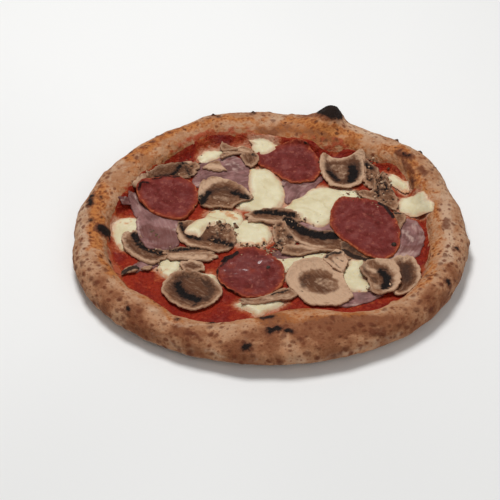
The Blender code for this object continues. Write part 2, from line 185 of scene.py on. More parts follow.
class Piece:
    """A piece while it is shaped and painted, with its points in millimetres.
    place finds where a pixel of the photograph shows it, and marks are its own."""

    SEEDS = 997  # each node's name stands for one of so many seeds
    LAYER_STEP = 101
    DOT_REACH = 2.0  # how far past a dot its fading depth is kept, in millimetres

    def __init__(self, node, thing, place, marks):
        self.node = node
        self.seed = zlib.crc32(node.encode()) % self.SEEDS
        self.thing = thing
        self.place = place
        self.marks = marks
        self.read()

    def read(self):
        """Takes the points, in millimetres, and the way that each faces."""
        self.points = self.column("vertices", "co", 3) / MM
        self.normals = self.column("vertices", "normal", 3)

    def column(self, part, name, wide=1, kind=np.float32):
        """One property of all vertices, faces or corners, this many numbers wide."""
        items = getattr(self.thing.data, part)
        values = np.empty(len(items) * wide, kind)
        items.foreach_get(name, values)
        return values.reshape(-1, wide).astype(float) if wide > 1 else values

    def write(self):
        """Puts the points back into the mesh."""
        places = (self.points * MM).astype(np.float32)
        self.thing.data.vertices.foreach_set("co", places.ravel())
        self.thing.data.update()

    def noise(self, size, layer=0, octaves=1):
        """Uneven numbers over the piece, other ones for each layer."""
        return noise(self.points, size, self.seed + self.LAYER_STEP * layer, octaves)

    def marked(self, kind, wobble=0.8, size=3.0):
        """Depth in millimetres inside the nearest stroke of this kind. wobble is how
        far its outline wanders, and size how long each wave of that is."""
        depth = np.full(len(self.points), -MASK_REACH)
        strokes = self.marks.get(kind, ())
        if not strokes:
            return depth
        wandering = [self.noise(size, 20 + axis, 2) for axis in range(3)]
        places = self.points + np.stack(wandering, axis=1) * wobble
        for half_width, *pixels in strokes:
            line = [self.place(pixel) for pixel in pixels]
            depth = np.maximum(depth, half_width - line_distance(places, line))
        return depth

    def dotted(self, density, narrow, wide, layer):
        """Depth inside dots strewn over the surface, density of them to a square
        centimetre, each with a half width from narrow to wide."""
        corners = self.column("loops", "vertex_index", kind=np.int32)
        sides = self.column("polygons", "loop_total", kind=np.int32)
        areas = self.column("polygons", "area")
        share = np.repeat(areas / sides, sides) / MM**2
        mine = np.bincount(corners, share, len(self.points))
        draws = np.random.default_rng(self.seed + layer)
        chosen = np.flatnonzero(draws.random(len(mine)) < mine * density / 100)
        widths = narrow + (wide - narrow) * draws.random(len(chosen)) ** 2
        tree = KDTree(len(self.points))
        for index, point in enumerate(self.points):
            tree.insert(point, index)
        tree.balance()
        depth = np.full(len(self.points), -MASK_REACH)
        for index, width in zip(chosen, widths):
            for _, near, away in tree.find_range(self.points[index], width + self.DOT_REACH):
                depth[near] = max(depth[near], width - away)
        return depth

    def paint(self, name, *masks):
        """Stores up to four masks, depths in millimetres, as one colour attribute."""
        colours = np.zeros((len(self.points), 4), np.float32)
        for channel, mask in enumerate(masks):
            colours[:, channel] = np.clip(0.5 + mask / (2 * MASK_REACH), 0, 1)
        layer = self.thing.data.attributes.new(name, "FLOAT_COLOR", "POINT")
        layer.data.foreach_set("color", colours.ravel())

    def grain(self, places):
        """Stores places along and across the piece, for patterns that follow it."""
        places = np.column_stack([places, self.points[:, 2]]) * MM
        layer = self.thing.data.attributes.new("grain", "FLOAT_VECTOR", "POINT")
        layer.data.foreach_set("vector", places.astype(np.float32).ravel())

    def finish(self, material, slot):
        """Hands the piece over in place of its solid."""
        self.write()
        surfaced(self.thing, material)
        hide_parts(self.node)


def finer_copy(node, levels):
    """The node's solid as an object of its own, cut finer and rounded."""
    seam = 0.02 * MM
    flat = math.radians(60)
    thing = linked(node + "_baked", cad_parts[node].data.copy())
    pick(thing)
    bpy.ops.object.mode_set(mode="EDIT")
    bpy.ops.mesh.customdata_custom_splitnormals_clear()
    bpy.ops.mesh.select_all(action="SELECT")
    bpy.ops.mesh.remove_doubles(threshold=seam)
    bpy.ops.mesh.tris_convert_to_quads(face_threshold=flat, shape_threshold=flat)
    bpy.ops.object.mode_set(mode="OBJECT")
    finer = thing.modifiers.new("Finer", "SUBSURF")
    finer.levels = levels
    finer.render_levels = levels
    bpy.ops.object.modifier_apply(modifier="Finer")
    return thing


def tree_of(thing):
    """The surface of a piece, for finding where a line of sight meets it."""
    mesh = thing.data
    return BVHTree.FromPolygons(
        [v.co.copy() for v in mesh.vertices], [p.vertices[:] for p in mesh.polygons]
    )


# Segments and rings of a sheet, for a piece with more than this half length in mm.
SHEET_GRIDS = ((60, (288, 76)), (18, (120, 24)), (0, (72, 14)))
RING_SPREAD = 1.35  # above 1 sets the rings closer together near the edge
BLANKS = {}  # the blank sheets made so far


def blank_sheet(segments, rings):
    """A round sheet of radius 1 with close rings near its edge, in two layers."""
    bpy.ops.object.select_all(action="DESELECT")
    bpy.ops.mesh.primitive_circle_add(vertices=segments, radius=1, fill_type="NGON")
    thing = bpy.context.object
    bpy.ops.object.mode_set(mode="EDIT")
    bpy.ops.mesh.select_mode(type="FACE")
    bpy.ops.mesh.select_all(action="SELECT")
    flat = math.cos(math.pi / segments)
    shares = [(ring / rings) ** RING_SPREAD for ring in range(rings)]
    for share, next_share in zip(shares[:-1], shares[1:]):
        bpy.ops.mesh.inset(thickness=(next_share - share) * flat)
    bpy.ops.mesh.poke()
    bpy.ops.mesh.select_all(action="SELECT")
    bpy.ops.mesh.extrude_region_move(TRANSFORM_OT_translate={"value": (0, 0, 1)})
    bpy.ops.mesh.select_all(action="SELECT")
    bpy.ops.mesh.normals_make_consistent(inside=False)
    bpy.ops.object.mode_set(mode="OBJECT")
    mesh = thing.data
    bpy.data.objects.remove(thing)
    return mesh


def new_sheet(node, size):
    """A fresh blank sheet, finer for a wider piece."""
    grid = next(grid for least, grid in SHEET_GRIDS if size > least)
    if grid not in BLANKS:
        BLANKS[grid] = blank_sheet(*grid)
    return linked(node + "_baked", BLANKS[grid].copy())


def seen_corners(pixels):
    """Finds the corners of an outline, seen at these pixels, on a tilted plane."""

    def corners(plane):
        start = np.array(CAMERA_AT) / MM
        slopes = np.array([plane[0], plane[1], -1.0])
        ways = np.array([sight(pixel) for pixel in pixels])
        far = -(start @ slopes + plane[2]) / (ways @ slopes)
        return (start + ways * far[:, None])[:, :2]

    return corners


class Outline:
    """A closed outline in plan, in millimetres, and the way to lay a round sheet in
    it. A curved piece is straightened along its bend first."""

    def __init__(self, corners):
        self.loop = loop = self.rounded(np.array(corners, float))
        self.middle = (loop.min(0) + loop.max(0)) / 2
        flat = loop - self.middle
        _, ways = np.linalg.eigh(flat.T @ flat)
        self.ways = ways[:, ::-1]
        along, across = (flat @ self.ways).T
        self.bend = np.polyfit(along, across, 2)
        across = across - np.polyval(self.bend, along)
        self.shift = np.array([along.max() + along.min(), across.max() + across.min()]) / 2
        self.half = np.array([np.ptp(along), np.ptp(across)]) / 2
        spread = (np.stack([along, across], axis=1) - self.shift) / self.half
        turns = np.arctan2(spread[:, 1], spread[:, 0])
        order = np.argsort(turns)
        self.turns = turns[order]
        self.reach = np.hypot(*spread.T)[order]

    @staticmethod
    def rounded(corners, steps=12):
        """A smooth closed curve through the corners."""
        before, after, later = (np.roll(corners, n, axis=0) for n in (1, -1, -2))
        curve = []
        for share in np.arange(steps) / steps:
            curve.append(0.5 * (
                2 * corners + (after - before) * share
                + (2 * before - 5 * corners + 4 * after - later) * share**2
                + (3 * corners - before - 3 * after + later) * share**3
            ))
        return np.stack(curve, axis=1).reshape(-1, 2)

    def lay(self, flat, ragged):
        """Places in plan, and along the piece, for places on the round sheet."""
        turns = np.arctan2(flat[:, 1], flat[:, 0])
        reach = np.interp(turns, self.turns, self.reach, period=math.tau)
        reach = reach * (1 + ragged * np.hypot(*flat.T) ** 3)
        spread = flat * reach[:, None] * self.half + self.shift
        straight = spread.copy()
        spread[:, 1] += np.polyval(self.bend, spread[:, 0])
        return spread @ self.ways.T + self.middle, straight

    def holds(self, x, y):
        """Which places lie inside."""
        inside = np.zeros(x.shape, bool)
        for (ax, ay), (bx, by) in zip(self.loop, np.roll(self.loop, -1, axis=0)):
            if ay != by:
                crossing = (ay > y) != (by > y)
                inside ^= crossing & (x < (bx - ax) * (y - ay) / (by - ay) + ax)
        return inside


def box_blur(values, weights, radius):
    """Mean of the weighted values in a square round each cell."""
    wide = 2 * radius + 1

    def total(grid):
        for axis in (0, 1):
            pads = [(0, 0), (0, 0)]
            pads[axis] = (radius + 1, radius)
            sums = np.cumsum(np.pad(grid, pads), axis=axis)
            last = sums.shape[axis]
            upper = np.take(sums, range(wide, last), axis)
            grid = upper - np.take(sums, range(last - wide), axis)
        return grid

    return total(values * weights) / np.maximum(total(weights), TINY)


class Heap:
    """Heights in millimetres of all that is laid so far, in cells seen from above."""

    CELL = 0.6
    HALF = 165.0  # half the width of the grid
    INSIDE = 132.0  # the toppings lie no further out than this
    ABOVE = 60.0  # clear of everything
    TALLEST = 45.0
    STEP = 0.2  # between the levels at which a line of sight is tried
    MARGIN = 3  # cells round a sheet that it is settled with
    FAINT = 0.001  # weight of the cells outside it

    def __init__(self, bread_tree):
        lines = np.arange(-self.HALF, self.HALF, self.CELL)
        self.heights = np.zeros((len(lines), len(lines)))
        for row, y in enumerate(lines):
            for column, x in enumerate(lines):
                if x * x + y * y < self.INSIDE**2:
                    above = Vector((x * MM, y * MM, self.ABOVE * MM))
                    hit = bread_tree.ray_cast(above, Vector((0, 0, -1)))[0]
                    self.heights[row, column] = hit.z / MM if hit else 0.0

    def sample(self, grid, places, low=(0, 0)):
        """Heights of a grid of cells, evened out between them, at these places."""
        spot = (places + self.HALF) / self.CELL - np.array(low)[::-1]
        limit = np.array(grid.shape)[::-1] - 1.001  # just short of the last cell
        spot = np.clip(spot, 0, limit)
        column, row = np.floor(spot).astype(int).T
        right, up = (spot - np.floor(spot)).T
        near = grid[row, column] * (1 - right) + grid[row, column + 1] * right
        far = grid[row + 1, column] * (1 - right) + grid[row + 1, column + 1] * right
        return near * (1 - up) + far * up

    def land(self, pixel):
        """The first place on the heap that shows at this pixel."""
        way = np.array(sight(pixel))
        start = np.array(CAMERA_AT) / MM
        levels = np.linspace(self.TALLEST, 0, round(self.TALLEST / self.STEP) + 1)
        line = start + way * ((levels - start[2]) / way[2])[:, None]
        under = np.flatnonzero(self.sample(self.heights, line[:, :2]) >= levels)
        return line[under[0]] if len(under) else line[-1]

    def drape(self, outline, stiff, rounds):
        """Heights of the underside of a sheet of this outline that rests on the heap.
        stiff is how many cells it evens out over, once for each round."""
        low = np.floor((outline.loop.min(0) + self.HALF) / self.CELL).astype(int) - self.MARGIN
        high = np.ceil((outline.loop.max(0) + self.HALF) / self.CELL).astype(int) + self.MARGIN + 1
        part = (slice(low[1], high[1]), slice(low[0], high[0]))
        rows, columns = np.mgrid[part]
        inside = outline.holds(columns * self.CELL - self.HALF, rows * self.CELL - self.HALF)
        floor = self.heights[part]
        under = box_blur(floor, np.ones_like(floor), 1)
        sheet = np.maximum(floor, under)
        weights = inside + self.FAINT
        for _ in range(rounds):
            sheet = np.maximum(under, box_blur(sheet, weights, stiff))
        sheet = box_blur(sheet, weights, 1)
        return sheet, inside, part, (low[1], low[0])


class Sheet(Piece):
    """A topping laid on the heap inside its outline."""

    START = (0.0, 0.0, 8.0)  # slopes and height of the plane on which it is first seen
    STEEPEST = 0.45
    CLEAR = 0.1  # gap to what it lies on
    PACKED = 0.8  # share of its thickness that it adds to the heap

    def __init__(self, node, heap, kind, corners, marks):
        self.heap = heap
        self.kind = kind
        self.outline = outline = self.settled(corners)
        super().__init__(node, new_sheet(node, outline.half.max()), heap.land, marks)
        self.flat = self.points[:, :2] * MM
        self.top = self.points[:, 2] * MM > 0.5
        self.share = np.hypot(*self.flat.T)
        round_edge = np.column_stack([self.flat * outline.half, np.zeros(len(self.flat))])
        tear = noise(round_edge, kind.tear, self.seed, 3)
        plan, self.straight = outline.lay(self.flat, tear * kind.ragged / outline.half.min())
        self.edge = self.inward(plan)
        sheet, inside, part, low = self.lower
        thick, belly = self.thickness(self.edge)
        under = heap.sample(sheet, plan, low) + self.CLEAR
        side = np.where(self.top, thick / 2, -thick / 2)
        self.points = np.column_stack([plan, under + thick / 2 + side * belly])
        self.write()
        self.read()
        level = np.where(inside, sheet + self.PACKED * kind.middle, 0)
        heap.heights[part] = np.maximum(heap.heights[part], level)

    def settled(self, corners):
        """Lays the sheet twice, so that its outline is seen at its true height."""
        plane = self.START
        for _ in range(2):
            outline = Outline(corners(plane))
            self.lower = self.heap.drape(outline, self.kind.stiff, self.kind.rounds)
            sheet, inside, part, _ = self.lower
            rows, columns = np.nonzero(inside)
            x = (columns + part[1].start) * self.heap.CELL - self.heap.HALF
            y = (rows + part[0].start) * self.heap.CELL - self.heap.HALF
            level = sheet[inside] + self.kind.middle * self.PACKED
            fit = np.linalg.lstsq(np.column_stack([x, y, np.ones_like(x)]), level, None)[0]
            slopes = np.clip(fit[:2], -self.STEEPEST, self.STEEPEST)
            plane = (*slopes, (level - x * slopes[0] - y * slopes[1]).mean())
        return outline

    def inward(self, plan):
        """Distance of each place from the torn edge of the sheet."""
        nearest = np.full(len(plan), np.inf)
        outermost = self.share > 0.999
        for place in plan[self.top & outermost]:
            nearest = np.minimum(nearest, np.hypot(*(plan - place).T))
        return nearest

    def thickness(self, edge):
        """Thickness, and how much of it the rounded edge keeps, this far in."""
        kind = self.kind
        rounding, least = 0.6, 0.25
        dome = np.sin(np.clip(edge / kind.dome, 0, 1) * math.pi / 2)
        thick = kind.edge + (kind.middle - kind.edge) * dome
        side = np.clip(edge / (rounding * kind.edge), 0, 1)
        return thick, least + (1 - least) * np.sqrt(1 - (1 - side) ** 2)


# --------------------------------------------------------------------- materials


class Level:
    """A number that a material works out from place to place."""

    def __init__(self, recipe, socket):
        self.recipe = recipe
        self.socket = socket

    def worked(self, operation, *values):
        values = dict(enumerate(values))
        node = self.recipe.make("ShaderNodeMath", {"operation": operation}, values)
        return Level(self.recipe, node.outputs[0])

    def __add__(self, other):
        return self.worked("ADD", self, other)

    def __sub__(self, other):
        return self.worked("SUBTRACT", self, other)

    def __rsub__(self, other):
        return self.worked("SUBTRACT", other, self)

    def __mul__(self, other):
        return self.worked("MULTIPLY", self, other)

    __radd__ = __add__
    __rmul__ = __mul__


class Recipe:
    """The nodes of one material. colour is what has been laid on it so far."""

    NOISE_ROUGHNESS = 0.55
    NOISE_SPREAD = 5.0
    COAT_ROUGHNESS = 0.2

    def __init__(self, name):
        self.material = bpy.data.materials.new(name)
        self.material.use_nodes = True
        self.tree = self.material.node_tree
        self.tree.nodes.clear()
        self.colour = None
        self.places = self.make("ShaderNodeTexCoord").outputs["Object"]

    def make(self, kind, settings=None, values=None):
        """A node of this kind, with its settings, and values or links for sockets."""
        node = self.tree.nodes.new(kind)
        for name, value in (settings or {}).items():
            setattr(node, name, value)
        for name, value in (values or {}).items():
            if isinstance(value, Level):
                value = value.socket
            if isinstance(value, bpy.types.NodeSocket):
                self.tree.links.new(value, node.inputs[name])
            else:
                node.inputs[name].default_value = value
        return node

    def masks(self, name, count=4):
        """The first masks of a painted attribute, as depths in millimetres."""
        read = self.make("ShaderNodeAttribute", {"attribute_name": name})
        parts = self.make("ShaderNodeSeparateColor", None, {0: read.outputs["Color"]})
        sockets = [*parts.outputs, read.outputs["Alpha"]][:count]
        return [(Level(self, socket) - 0.5) * (2 * MASK_REACH) for socket in sockets]

    def along(self, stretch):
        """Places that follow the piece, drawn out along it."""
        read = self.make("ShaderNodeAttribute", {"attribute_name": "grain"})
        values = {"Vector": read.outputs["Vector"], "Scale": stretch}
        return self.make("ShaderNodeMapping", None, values).outputs[0]

    def noise(self, size, detail=3.0, places=None, warp=0.0):
        """Uneven numbers, about -1 to 1, with lumps of this many millimetres."""
        values = {
            "Vector": places or self.places,
            "Scale": 1 / (size * MM),
            "Detail": detail,
            "Roughness": self.NOISE_ROUGHNESS,
            "Distortion": warp,
        }
        texture = self.make("ShaderNodeTexNoise", None, values)
        return (Level(self, texture.outputs[0]) - 0.5) * self.NOISE_SPREAD

    def spots(self, size, width, density, ragged=0.0, places=None):
        """Round spots strewn one to a cell of this size: width is their greatest
        half width in cells, density the share of cells that have one."""
        values = {"Vector": places or self.places, "Scale": 1 / (size * MM)}
        settings = {"voronoi_dimensions": "2D" if places else "3D"}
        cells = self.make("ShaderNodeTexVoronoi", settings, values)
        parts = self.make("ShaderNodeSeparateColor", None, {0: cells.outputs["Color"]})
        chance, girth = (Level(self, parts.outputs[i]) for i in (0, 1))
        least = 0.4 * width
        near = girth * (0.6 * width) + least - Level(self, cells.outputs[0])
        there = self.step(density - chance, 0.0, 0.02)
        return self.step(near + ragged, -0.1 * width, 0.6 * width) * there

    def step(self, level, low, high):
        """0 below low, 1 above high, and smooth in between."""
        values = {"Value": level, "From Min": low, "From Max": high}
        node = self.make("ShaderNodeMapRange", {"interpolation_type": "SMOOTHSTEP"}, values)
        return Level(self, node.outputs[0])

    def mix(self, share, first, second):
        """From the first colour to the second."""
        values = {0: share, 6: first, 7: second}
        return self.make("ShaderNodeMix", {"data_type": "RGBA"}, values).outputs[2]

    def ground(self, first, second, level, low, high):
        """Starts with a colour that runs to a second one where this level is high."""
        self.colour = self.mix(self.step(level, low, high), rgb(*first), rgb(*second))

    def tint(self, colour, share):
        """Lays a colour over what is there, as much as share says."""
        self.colour = self.mix(share, self.colour, rgb(*colour))

    def lay(self, colour, most, level, low, high):
        """Lays a colour where this level is high, at most this much of it."""
        there = self.step(level, low, high)
        self.tint(colour, there * most)
        return there

    def finish(self, roughness, height, specular=0.5, soft=None, wet=0.0):
        """The surface: its roughness and height in millimetres, how much of it a
        clear oily coat covers, and how soft it is to light: the share of light that
        goes in, how many millimetres further it comes out, and its colour then."""
        values = {"Height": height, "Distance": MM, "Strength": 1.0}
        relief = self.make("ShaderNodeBump", None, values)
        values = {
            "Base Color": self.colour,
            "Roughness": roughness,
            "Normal": relief.outputs[0],
            "Specular IOR Level": specular,
            "Coat Weight": wet,
        }
        if soft:
            share, depth, tint = soft
            values |= {
                "Subsurface Weight": share,
                "Subsurface Scale": depth * MM,
                "Subsurface Radius": tint,
                "Coat Roughness": self.COAT_ROUGHNESS,
            }
        surface = self.make("ShaderNodeBsdfPrincipled", None, values)
        self.make("ShaderNodeOutputMaterial", None, {"Surface": surface.outputs[0]})
        return self.material


def crust_look():
    """Pale floury bread, gold and toasted in places, freckled and charred, with painted shade on
    the inner wall at the back.
    """
    look = Recipe("blistered bread")
    char, gold, toast_and_shade, stain = look.masks("paint")
    flour, spots, freckled = look.masks("dust_and_shade", 3)
    skin = look.along((1, 1, 0))
    fine = look.noise(0.9, 3)
    small = look.noise(2.6, 4)
    middling = look.noise(6.5, 3)
    broad = look.noise(17, 3)

    look.ground((187, 146, 114), (162, 111, 76), broad, -0.8, 0.9)
    look.lay((198, 168, 140), 0.5, middling, -0.1, 0.9)
    look.lay((158, 108, 76), 0.45, small, 0.0, 0.9)
    look.lay((128, 82, 56), 0.14, fine, 0.1, 1.1)
    # toasted brown, which on the inner wall at the back is painted shade
    look.lay((178, 120, 80), 0.85, toast_and_shade + middling * 1.6 + small * 0.5, -2.5, 4.5)
    look.lay((120, 68, 42), 0.85, toast_and_shade + broad * 1.8 + small * 0.7, -0.5, 4.2)
    look.lay((204, 173, 146), 0.5, flour + middling * 1.4 + small, -2.0, 3.0)
    golden = look.lay((184, 114, 54), 0.88, gold + middling * 1.4 + small * 1.2, -2.5, 3.5)
    rusty = look.step(small + middling * 0.5, -0.3, 0.9) * golden
    look.tint((146, 76, 34), rusty * 0.8)
    sauced = look.lay((160, 66, 36), 0.9, stain + middling * 1.4 + small, -1.5, 3.0)

    # freckles, thickest where it is most baked, and larger darker ones in the gold
    thick = look.step(freckled + broad * 0.8, -3.0, 3.5)
    rich = look.step(gold + middling, -0.5, 3.0)
    rough = small * 0.03 + fine * 0.02
    tiny = look.spots(3.6, 0.34, thick * 0.75 + 0.05, rough, skin)
    medium = look.spots(6.4, 0.44, thick * 0.62 + 0.05, rough, skin)
    large = look.spots(9.0, 0.40, thick * 0.5, rough, skin)
    leopard = look.spots(4.4, 0.46, rich * 0.85, rough * 1.5, skin)
    deep_leopard = look.spots(7.0, 0.36, rich * 0.6, rough * 1.5, skin)
    look.tint((120, 66, 40), tiny * 0.6)
    look.tint((108, 55, 32), medium * 0.8)
    look.tint((98, 51, 31), large * 0.7)
    look.tint((128, 62, 28), leopard * 0.7)
    look.tint((84, 38, 20), deep_leopard * 0.85)

    look.lay((98, 48, 28), 0.8, spots + small * 0.7 + fine * 0.2, -1.8, 1.5)
    look.lay((96, 52, 34), 0.8, char + small * 0.9 + fine * 0.3, -3.6, 0.4)
    burnt = look.lay((24, 17, 15), 0.95, char + small * 0.7 + fine * 0.3, -1.0, 1.0)
    roughness = 0.75 + small * 0.05 - sauced * 0.25 - golden * 0.15
    height = fine * 0.10 + small * 0.22 + middling * 0.30 + tiny * 0.08 + medium * 0.2
    height = height + large * 0.3 + leopard * 0.10 + burnt * fine * 0.2
    return look.finish(roughness, height, 0.15, (0.05, 2.0, (1.0, 0.5, 0.3)))


def sauce_look():
    """Cooked tomato: deep red, pulpy, with oil and milky cheese at its borders."""
    look = Recipe("tomato sauce")
    milk, oil, deep = look.masks("paint", 3)
    fine = look.noise(0.9, 3)
    pulp = look.noise(2.8, 4, warp=0.5)
    broad = look.noise(12, 2)

    look.ground((147, 40, 18), (124, 26, 13), broad, -0.8, 0.8)
    look.lay((170, 66, 36), 0.5, pulp, 0.0, 1.0)
    look.lay((108, 22, 12), 0.5, pulp, -0.1, -1.0)
    look.lay((72, 14, 9), 0.8, deep + pulp, -0.5, 3.5)
    look.lay((178, 90, 42), 0.55, oil + pulp, -1.0, 2.0)
    look.lay((186, 98, 56), 0.55, milk + pulp * 1.3, -3.5, 0.5)
    look.lay((204, 158, 130), 0.85, milk + pulp * 1.3 + fine * 0.3, -0.8, 3.0)
    wet = look.step(pulp + broad, 0.2, 1.0) * 0.28
    height = pulp * 0.5 + fine * 0.10
    return look.finish(pulp * 0.05 + 0.5, height, 0.12, (0.05, 1.5, (1.0, 0.25, 0.1)), wet)


def mozzarella_look():
    """Melted cheese: cream white and smooth, browned in spots, orange at thin edges."""
    look = Recipe("melted mozzarella")
    brown, thin, oil, seam = look.masks("paint")
    fine = look.noise(1.0, 3)
    small = look.noise(3.6, 4)
    broad = look.noise(13, 2)

    look.ground((217, 207, 174), (204, 190, 152), broad, -0.8, 0.9)
    look.lay((230, 222, 196), 0.4, small, 0.2, 1.4)
    # a darker tone along the seams where lobes overlap: painted shade
    look.lay((194, 176, 132), 0.5, seam + small * 0.5, -2.0, 1.2)
    look.lay((200, 150, 122), 0.7, thin + small * 0.8 + fine * 0.2, -1.6, 3.0)
    look.lay((200, 122, 62), 0.75, oil + small * 0.9 + fine * 0.3, -1.4, 2.4)
    look.lay((190, 116, 60), 0.8, brown + small * 1.3 + fine * 0.4, -1.0, 2.4)
    look.tint((176, 112, 62), look.spots(5.0, 0.13, 0.35, fine * 0.02) * 0.6)
    height = small * 0.12 + fine * 0.02
    return look.finish(small * 0.05 + 0.42, height, 0.25, (0.3, 2.5, (1.0, 0.8, 0.5)))


def ham_look():
    """Cooked ham: dusky pink with pale fibres and browned edges."""
    look = Recipe("cooked ham")
    brown, pale, herb = look.masks("paint", 3)
    fine = look.noise(0.8, 3)
    fibre = look.noise(1.8, 3, look.along((0.14, 1, 1)), 0.3)
    broad = look.noise(9, 3)

    look.ground((143, 101, 97), (102, 63, 59), broad, -0.8, 0.8)
    look.lay((176, 142, 136), 0.3, fibre, 0.0, 1.2)
    look.lay((104, 62, 56), 0.25, fibre, -0.1, -1.2)
    look.lay((204, 174, 162), 0.6, pale + fibre * 0.8 + fine * 0.3, -1.0, 1.8)
    look.lay((106, 60, 53), 0.65, brown + broad * 0.8 + fine * 0.4, -1.5, 2.0)
    look.lay((66, 52, 32), 0.85, herb + fine * 0.2, -0.3, 0.4)
    height = fibre * 0.12 + fine * 0.03
    return look.finish(fibre * 0.04 + 0.5, height, 0.2, (0.12, 1.5, (1.0, 0.5, 0.4)))


def salami_look():
    """Cured sausage: burgundy, marbled with small pale flecks, browned at its rim and
    oily in places."""
    look = Recipe("salami")
    rim, burn, fold, shine = look.masks("paint")
    fine = look.noise(0.8, 3)
    small = look.noise(3.0, 4, warp=0.2)
    middling = look.noise(8.0, 3, warp=0.3)
    broad = look.noise(14, 2)

    look.ground((112, 42, 38), (102, 32, 27), broad, -0.7, 0.7)
    look.lay((128, 66, 61), 0.7, middling, 0.0, 0.8)
    look.lay((90, 22, 15), 0.8, middling, -0.1, -0.8)
    look.lay((158, 92, 76), 0.55, small, 0.3, 1.1)
    look.lay((72, 20, 16), 0.45, small, -0.3, -1.2)
    look.lay((140, 52, 30), 0.65, rim + small * 0.8 + middling * 0.8, -4.0, 1.5)
    look.tint((184, 120, 100), look.spots(2.4, 0.17, 0.22, fine * 0.04) * 0.45)
    # the orange rim colour also covers the fat strokes, some of which are painted glints
    uneven = look.step(small + broad, -1.0, 0.8) * 0.65 + 0.2
    look.lay((172, 92, 56), uneven, rim + small * 1.2 + fine * 0.4, 0.3, 1.7)
    # darker along the folds and creases: painted shade
    look.lay((74, 22, 18), 0.7, fold + small * 0.5, -0.8, 1.2)
    look.lay((14, 9, 8), 0.95, burn + small * 0.4 + fine * 0.2, -0.5, 0.5)
    wet = look.step(shine + middling * 1.2, -2.0, 2.0) * 0.45
    height = small * 0.25 + fine * 0.06 + middling * 0.3
    return look.finish(small * 0.04 + 0.55, height, 0.12, (0.04, 1.0, (1.0, 0.3, 0.2)), wet)


def mushroom_look():
    """Roasted mushroom: pale flesh, brown inside, black gills with combed edges; painted shade
    inwards, round the gills, in gaps and in dark patches.
    """
    look = Recipe("roasted mushroom")
    gill_and_shadow, pale, brown, burn = look.masks("paint")
    edge, dark = look.masks("dust_and_shade", 2)
    edge = edge + MASK_REACH
    fine = look.noise(0.7, 3)
    fibre = look.noise(1.8, 3, look.along((0.25, 1, 1)), 0.4)
    comb = look.noise(1.5, 2, look.along((1, 0.2, 0.5)))
    small = look.noise(2.6, 4)
    broad = look.noise(8, 2)

    look.ground((151, 110, 82), (110, 70, 45), small + broad, -0.9, 0.9)
    # darker further in from the edge: brown flesh, and painted shade
    look.lay((100, 62, 38), 0.6, edge + small * 1.5 + broad * 1.5, 0.5, 6.5)
    look.lay((88, 52, 31), 0.85, brown + small * 1.4 + broad * 1.2, -3.5, 3.5)
    look.lay((202, 166, 136), 0.9, pale + small * 1.1 + broad * 0.7, -2.4, 1.6)
    look.lay((206, 172, 144), 0.2, fibre, 0.0, 1.2)
    look.lay((94, 60, 40), 0.22, fibre, -0.1, -1.2)
    # soft dark patches where the dark strokes lie: painted shade
    look.lay((56, 35, 25), 0.85, dark + small * 1.2 + broad * 0.5, -3.2, 3.0)
    # a soft dark band round the gills is painted shade; then black gills, which in places are
    # painted shadow in gaps
    look.lay((66, 40, 28), 0.75, gill_and_shadow + small, -3.4, 0.6)
    black = gill_and_shadow + small * 0.6 + fine * 0.2 + comb * 0.9
    gilled = look.lay((12, 7, 6), 0.97, black, -0.8, 0.9)
    look.lay((124, 70, 40), 0.6, 0.3 - edge + small * 0.7 + broad * 0.7, -0.4, 0.6)
    look.tint((88, 54, 36), look.spots(2.2, 0.16, 0.3, fine * 0.06) * 0.4)
    # tiny pale specks, which also stand in for wet glints: partly painted highlights
    look.tint((220, 200, 178), look.spots(2.4, 0.13, 0.08, fine * 0.03) * 0.7)
    look.lay((30, 19, 14), 0.93, burn + small * 0.4 + fine * 0.3, -0.5, 0.5)
    height = fibre * 0.05 + fine * 0.08 + small * 0.25 + comb * gilled * 0.4
    return look.finish(small * 0.04 + 0.62, height, 0.15, (0.08, 1.5, (1.0, 0.7, 0.5)))


def crumb_look():
    """Crumbled roast mushroom, each crumb of its own shade."""
    look = Recipe("mushroom crumbs")
    (shade,) = look.masks("paint", 1)
    fine = look.noise(0.7, 3)
    look.ground((58, 37, 26), (128, 90, 64), shade, -3.8, 0.0)
    look.lay((184, 152, 124), 1.0, shade, 0.8, 4.0)
    look.lay((90, 58, 40), 0.4, fine, 0.1, 1.4)
    return look.finish(fine * 0.05 + 0.6, fine * 0.05, 0.2, (0.1, 1.0, (1.0, 0.7, 0.5)))


def pepper_look():
    """Wrinkled black pepper."""
    look = Recipe("pepper")
    fine = look.noise(0.5, 3)
    small = look.noise(1.4, 3)
    look.ground((34, 24, 18), (66, 48, 34), small, -0.8, 1.0)
    return look.finish(fine * 0.05 + 0.5, small * 0.2 + fine * 0.05, 0.3)


def herb_look():
    """Dried green leaf, browned in the oven."""
    look = Recipe("dried herb")
    fine = look.noise(0.6, 3)
    look.ground((70, 62, 34), (104, 86, 50), fine, -0.8, 0.8)
    return look.finish(fine * 0.05 + 0.7, fine * 0.05, 0.2)


def floor_look():
    """A pale floor, a little uneven in tone."""
    look = Recipe("pale floor")
    plain = look.noise(400, 1)
    look.colour = look.mix(plain, rgb(236, 236, 235), rgb(232, 232, 231))
    return look.finish(plain * 0.1 + 0.8, plain * 0.0)


# ---------------------------------------------------------------------- toppings

# Each kind of layer, in millimetres: its thickness in the middle and at the edge, and
# how far in the edge is rounded. stiff is how many cells it evens out over as it
# settles, once for each of its rounds. Its edge is torn in waves of the size tear, as
# deep as ragged.

